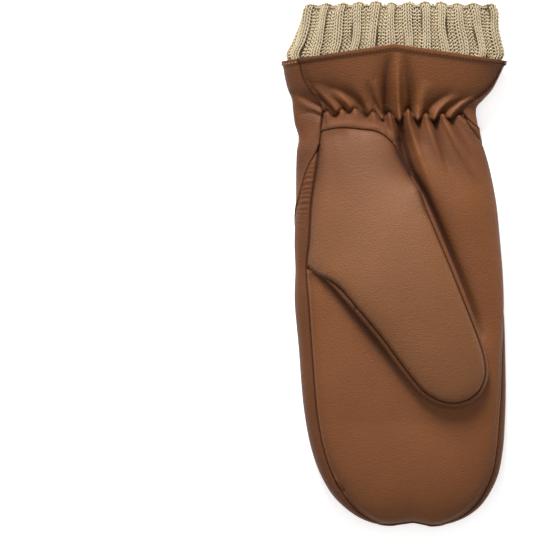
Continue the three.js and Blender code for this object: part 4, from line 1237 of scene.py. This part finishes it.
def knit_rings():
    """Rings round the cuff, each a superellipse, read at even steps along their length, with the
    direction along the ring there. The direction is softened by means of three neighbours."""
    levels = np.linspace(KNIT_SECTIONS[0, 0], KNIT_SECTIONS[-1, 0] + 2, 40)
    within = np.minimum(levels, KNIT_SECTIONS[-1, 0])
    left, right, top, bottom = (
        through(KNIT_SECTIONS[:, 0], column, within)[:, None] for column in KNIT_SECTIONS.T[1:]
    )
    turn = np.linspace(0, 2 * np.pi, TURN_STEPS + 1)[None, :]
    inward = RIB_RISE + KNIT_WALL / 2
    is_top = np.sin(turn) >= 0
    power = np.where(is_top, 2 / PALM_ROUND, 2 / BACK_ROUND)
    x = np.sign(np.cos(turn)) * np.abs(np.cos(turn)) ** power * ((right - left) / 2 - inward)
    end = np.where(is_top, top - inward, bottom + inward)
    z = mix(KNIT_WIDEST, end, np.abs(np.sin(turn)) ** power)
    rings = np.stack([x + (left + right) / 2, z], -1)
    even = np.linspace(0, 1, EVEN_STEPS + 1)
    place = np.array([
        [np.interp(even, at / at[-1], column) for column in ring.T]
        for at, ring in zip(running_length(rings), rings)
    ])
    ahead = np.roll(place, -1, axis=2) - np.roll(place, 1, axis=2)
    ahead[..., [0, -1]] = (place[..., 1] - place[..., -2])[..., None]
    for _ in range(TURNS_SOFTENED):
        ahead[..., 1:-1] = (ahead[..., :-2] + ahead[..., 1:-1] + ahead[..., 2:]) / 3
    return levels, place, ahead / np.linalg.norm(ahead, axis=1, keepdims=True)


RING_LEVELS, RING_PLACE, RING_AHEAD = knit_rings()
print(f"{len(RING_LEVELS)} rings round the cuff, {WALES} stitches each")


# %% Points of the cuff
def knit_surface(s, y, offset):
    """A point of the cuff's tube: s is the share of the way round, y the place along the arm, and
    offset how far out from the middle of the wall."""
    row = np.interp(y, RING_LEVELS, np.arange(len(RING_LEVELS)))
    column = (s % 1) * EVEN_STEPS
    x, z = (sample(RING_PLACE[:, k], row, column) for k in (0, 1))
    ahead_x, ahead_z = (sample(RING_AHEAD[:, k], row, column) for k in (0, 1))
    return np.stack([x + ahead_z * offset, y, z - ahead_x * offset], -1)


def rib_wave(s):
    """Plus one on the two knit columns and minus one on the purl ones, with soft steps."""
    return np.tanh(2.2 * np.cos(2 * np.pi * RIBS * s)) / np.tanh(2.2)


# %% Yarn
LOOP_DEPTH = 0.5
LOOP_HEIGHT = 0.92 * COURSE
EDGE_LOOP = 0.45  # the last course lies flatter, as a bound-off edge does
LOOP_SWAY = 0.19
PURL_SWAY = 0.06
RIB_TURN = 2.4  # stitches by which the ribs are turned round the cuff
LAST_COURSE = 139.1 - EDGE_LOOP - YARN
YARN_FROM = 105  # y where the yarn begins, inside the hem


def yarn_course(level, samples=14, sides=6):
    """One closed loop of yarn round the cuff. With t one turn for each stitch: y swings with
    cos t, x sways with sin 2t, and the depth swings with cos 2t, knit out and purl in. Slow waves
    round the cuff make ribs and courses wander a little, and the mouth's two ends lie lower."""
    t = np.arange(WALES * samples) * 2 * np.pi / samples
    stitch = t / (2 * np.pi)
    wave = rib_wave((stitch - 1.0) / WALES)
    sway = mix(PURL_SWAY, LOOP_SWAY, (wave + 1) / 2)
    s = (stitch + sway * np.sin(2 * t) - 1.0 - RIB_TURN) / WALES
    s = (
        s + 0.0022 * np.sin(2 * np.pi * 7 * s + level / 6)
        + 0.0014 * np.sin(2 * np.pi * 11 * s - level / 9)
    )
    wobble = 0.12 * np.sin(3.1 * level + 17 * s) + 0.08 * np.sin(47 * s + level)
    scallop = (0.8 * wave + 0.35 * np.sin(41 * s + 1)) * smoothstep((level - 120) / 18)
    swing = EDGE_LOOP if level > LAST_COURSE - COURSE / 2 else LOOP_HEIGHT
    y = level + swing * np.cos(t) + wobble + scallop
    offset = RIB_RISE * wave - LOOP_DEPTH * np.cos(2 * t) * wave
    x = knit_surface(s, y, offset)[:, 0]
    y = y + (0.5 - 2.4 * ((x - 2) / 54) ** 4) * (level - 104) / 35
    centre = knit_surface(s, y, offset)
    out = unit(knit_surface(s, y, offset + 0.1) - centre)
    run = unit(np.roll(centre, -1, axis=0) - np.roll(centre, 1, axis=0))
    side = unit(np.cross(run, out))
    up = np.cross(side, run)
    angle = np.linspace(0, 2 * np.pi, sides, endpoint=False)[None, :, None]
    return centre[:, None] + YARN * (np.cos(angle) * side[:, None] + np.sin(angle) * up[:, None])


YARN_MERGE = 1e-9  # in metres, because the points of a tight loop lie close together


def yarn_band(name, levels):
    """Several courses of yarn in one mesh: each is a closed tube, so it has no ends."""
    tubes = np.array([yarn_course(level) for level in levels])
    number = np.arange(tubes[..., 0].size).reshape(tubes.shape[:3])
    ahead = np.roll(number, -1, axis=1)
    quads = np.stack([number, ahead, np.roll(ahead, -1, axis=2), np.roll(number, -1, axis=2)], -1)
    mesh = bpy.data.meshes.new(name)
    points = (tubes.reshape(-1, 3) + ORIGIN) * MM
    mesh.from_pydata(points.tolist(), [], quads.reshape(-1, 4).tolist())
    return finish_mesh(name, mesh, merge=YARN_MERGE)


levels = np.arange(LAST_COURSE, YARN_FROM, -COURSE)[::-1]
half_way = len(levels) // 2
knit_low = yarn_band("knit_low", levels[:half_way])
knit_top = yarn_band("knit_top", levels[half_way:])

# %% [markdown]
# ## Backing of the knit
#
# Between the loops of a real rib one looks into the shade of the cuff. A thin dark sheet that
# follows the ribs just under the yarn gives that shade, and closes the cuff behind the loops.

# %% Backing of the knit
BACKING_FROM, BACKING_TO = 101.5, 138.2
BACKING_OUTSIDE, BACKING_INSIDE = 0.1, 0.9  # how far under the rib's middle its two faces lie

s_grid, y_grid = np.meshgrid(
    np.arange(WALES * 3) / (WALES * 3), np.linspace(BACKING_FROM, BACKING_TO, 20), indexing="ij",
)
backing_wave = RIB_RISE * rib_wave(s_grid + RIB_TURN / WALES)
backing_out = knit_surface(s_grid, y_grid, backing_wave - BACKING_OUTSIDE)
backing_in = knit_surface(s_grid, y_grid, backing_wave - BACKING_INSIDE)
knit_back = skin_mesh("knit_backing", backing_out, backing_in, ring=True)

# %% [markdown]
# ## Materials
#
# Smooth nappa leather is mostly its colour: a warm brown that wanders a little, with dark lines in
# the seams, painted shade where the surface lies in shade, and a painted highlight on raised edges.
# The back and gussets take a darker copy of the brown, which is painted shade too. Its grain is a
# fine net of cells, far too shallow to show as relief, so it is a bump from a cell pattern and a
# noise.


# %% Leather
def shade(colour, share=1.0):
    """The colour times a share, with the opacity that a socket wants."""
    return (*[c * share for c in colour], 1)


def leather_material(name, colour, dark):
    """Two browns mixed by a noise, paled by the painted highlight of one attribute and darkened by
    another, which holds painted shade and the seams' dark lines, with a bump of cells and a finer
    noise. The darkened places are also duller."""
    colours = {"data_type": "RGBA"}
    recipe = {
        "coords": ("TexCoord", {}, {}),
        "cloud": ("TexNoise", {}, {"Scale": 28, "Detail": 4}),
        "spread": ("MapRange", {}, {"From Min": 0.3, "From Max": 0.7}),
        "tint": ("Mix", colours, {"A": shade(colour, 0.93), "B": shade(colour, 1.07)}),
        # painted highlight
        "painted_highlight": ("Attribute", {"attribute_name": "painted_highlight"}, {}),
        "highlighted": ("Mix", colours, {"B": shade([c**0.8 for c in colour])}),
        # painted shade and the seams' dark lines
        "shade_and_seams": ("Attribute", {"attribute_name": "shade_and_seams"}, {}),
        "soften": ("Math", {"operation": "MULTIPLY"}, {1: 0.75}),
        "shade_mix": ("Mix", colours, {"B": shade(dark)}),
        "dull": ("MapRange", {}, {"From Min": 0.4, "To Min": 0.58, "To Max": 0.95}),
        "cells": ("TexVoronoi", {"feature": "SMOOTH_F1"}, {"Scale": 1700}),
        "fine": ("TexNoise", {}, {"Scale": 1150, "Detail": 5}),
        "grain": ("Math", {"operation": "MULTIPLY_ADD"}, {1: 1.4}),
        "bump": ("Bump", {}, {"Strength": 0.65, "Distance": 0.0003}),
        "shader": ("BsdfPrincipled", {}, {"Specular IOR Level": 0.24}),
    }
    wires = [
        ("coords", "Object", "cloud", "Vector"),
        ("cloud", "Fac", "spread", "Value"),
        ("spread", "Result", "tint", "Factor"),
        ("tint", "Result", "highlighted", "A"),
        ("painted_highlight", "Fac", "highlighted", "Factor"),
        ("highlighted", "Result", "shade_mix", "A"),
        ("shade_and_seams", "Fac", "soften", 0),
        ("soften", "Value", "shade_mix", "Factor"),
        ("shade_mix", "Result", "shader", "Base Color"),
        ("shade_and_seams", "Fac", "dull", "Value"),
        ("dull", "Result", "shader", "Roughness"),
        ("coords", "Object", "cells", "Vector"),
        ("coords", "Object", "fine", "Vector"),
        ("fine", "Fac", "grain", 0),
        ("cells", "Distance", "grain", 2),
        ("grain", "Value", "bump", "Height"),
        ("bump", "Normal", "shader", "Normal"),
    ]
    return node_material(name, recipe, wires)


TAN = (0.17, 0.0585, 0.018)
TAN_THUMB = (0.174, 0.0675, 0.0245)
# a darker copy of the tan for the back and the gussets: painted shade on the mitten's sides
TAN_SIDE_SHADED = (0.13, 0.0425, 0.012)
TAN_DARK = (0.04, 0.011, 0.004)
leather = leather_material("tan_nappa", TAN, TAN_DARK)
shaded_side_leather = leather_material("tan_nappa_side_shaded", TAN_SIDE_SHADED, TAN_DARK)
thumb_leather = leather_material("tan_nappa_thumb", TAN_THUMB, TAN_DARK)
print("leathers", leather.name, shaded_side_leather.name, thumb_leather.name)

# %% [markdown]
# ## Yarn and thread
#
# Wool is matt and fuzzy, so its edge catches a soft sheen, and thread is a thinner and smoother
# version of the same. Both are flecked by a fine noise, which also gives a bump, because single
# fibres are too thin to be modelled.


# %% Yarn and thread
def yarn_material(name, colour, fuzz=0.3):
    """Yarn or thread with a slight change of colour along it, and the sheen of its fuzz."""
    tints = {"A": shade(colour, 0.8), "B": shade(colour, 1.12)}
    recipe = {
        "coords": ("TexCoord", {}, {}),
        "flecks": ("TexNoise", {}, {"Scale": 900, "Detail": 3}),
        "tint": ("Mix", {"data_type": "RGBA"}, tints),
        "bump": ("Bump", {}, {"Strength": 0.5, "Distance": 0.0002}),
        "shader": ("BsdfPrincipled", {}, {"Roughness": 0.9, "Sheen Weight": fuzz}),
    }
    wires = [
        ("coords", "Object", "flecks", "Vector"),
        ("flecks", "Fac", "tint", "Factor"),
        ("tint", "Result", "shader", "Base Color"),
        ("flecks", "Fac", "bump", "Height"),
        ("bump", "Normal", "shader", "Normal"),
    ]
    return node_material(name, recipe, wires)


wool = yarn_material("beige_yarn", (0.41, 0.325, 0.195))
wool_shade = yarn_material("beige_yarn_shade", (0.055, 0.034, 0.015), 0)
brown_thread = yarn_material("brown_thread", (0.03, 0.01, 0.005), 0)
red_thread = yarn_material("red_brown_thread", (0.1, 0.026, 0.01), 0)
ochre_thread = yarn_material("ochre_thread", (0.36, 0.2, 0.06), 0)

# %% Finish of each piece
FINISHES = [
    (leather, (palm, thumb_under)),
    (shaded_side_leather, (back, thumb_gusset, finger_gusset)),
    (thumb_leather, (thumb_front,)),
    (wool, (knit_low, knit_top)),
    (wool_shade, (knit_back,)),
    (brown_thread, (hem_stitches, back_stitches, thumb_stitches)),
    (red_thread, (elastic_stitches,)),
    (ochre_thread, (ochre_stitches,)),
]
for finish, pieces in FINISHES:
    for piece in pieces:
        piece.data.materials.append(finish)
print("materials", [m.name for m in bpy.data.materials])

# %% [markdown]
# ## Riding on the frame
#
# The mitten doesn't bend here, so each piece rides on the one body and stands for its solid.

# %% Pieces and their bodies
STANDS_FOR = [
    (palm, "palm_panel", "leather"),
    (back, "back_panel", "leather"),
    (thumb_gusset, "thumb_side_gusset", "leather"),
    (finger_gusset, "finger_side_gusset", "leather"),
    (thumb_front, "thumb_front", "thumb_leather"),
    (thumb_under, "thumb_underside", "leather"),
    (knit_low, "knit_cuff", "knit"),
    (knit_top, "knit_cuff", "knit"),
    (knit_back, "knit_cuff", "knit"),
]
for piece, node, slot in STANDS_FOR:
    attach(piece, "root")
    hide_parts(node)

for piece in (hem_stitches, back_stitches, thumb_stitches, elastic_stitches, ochre_stitches):
    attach(piece, "root")
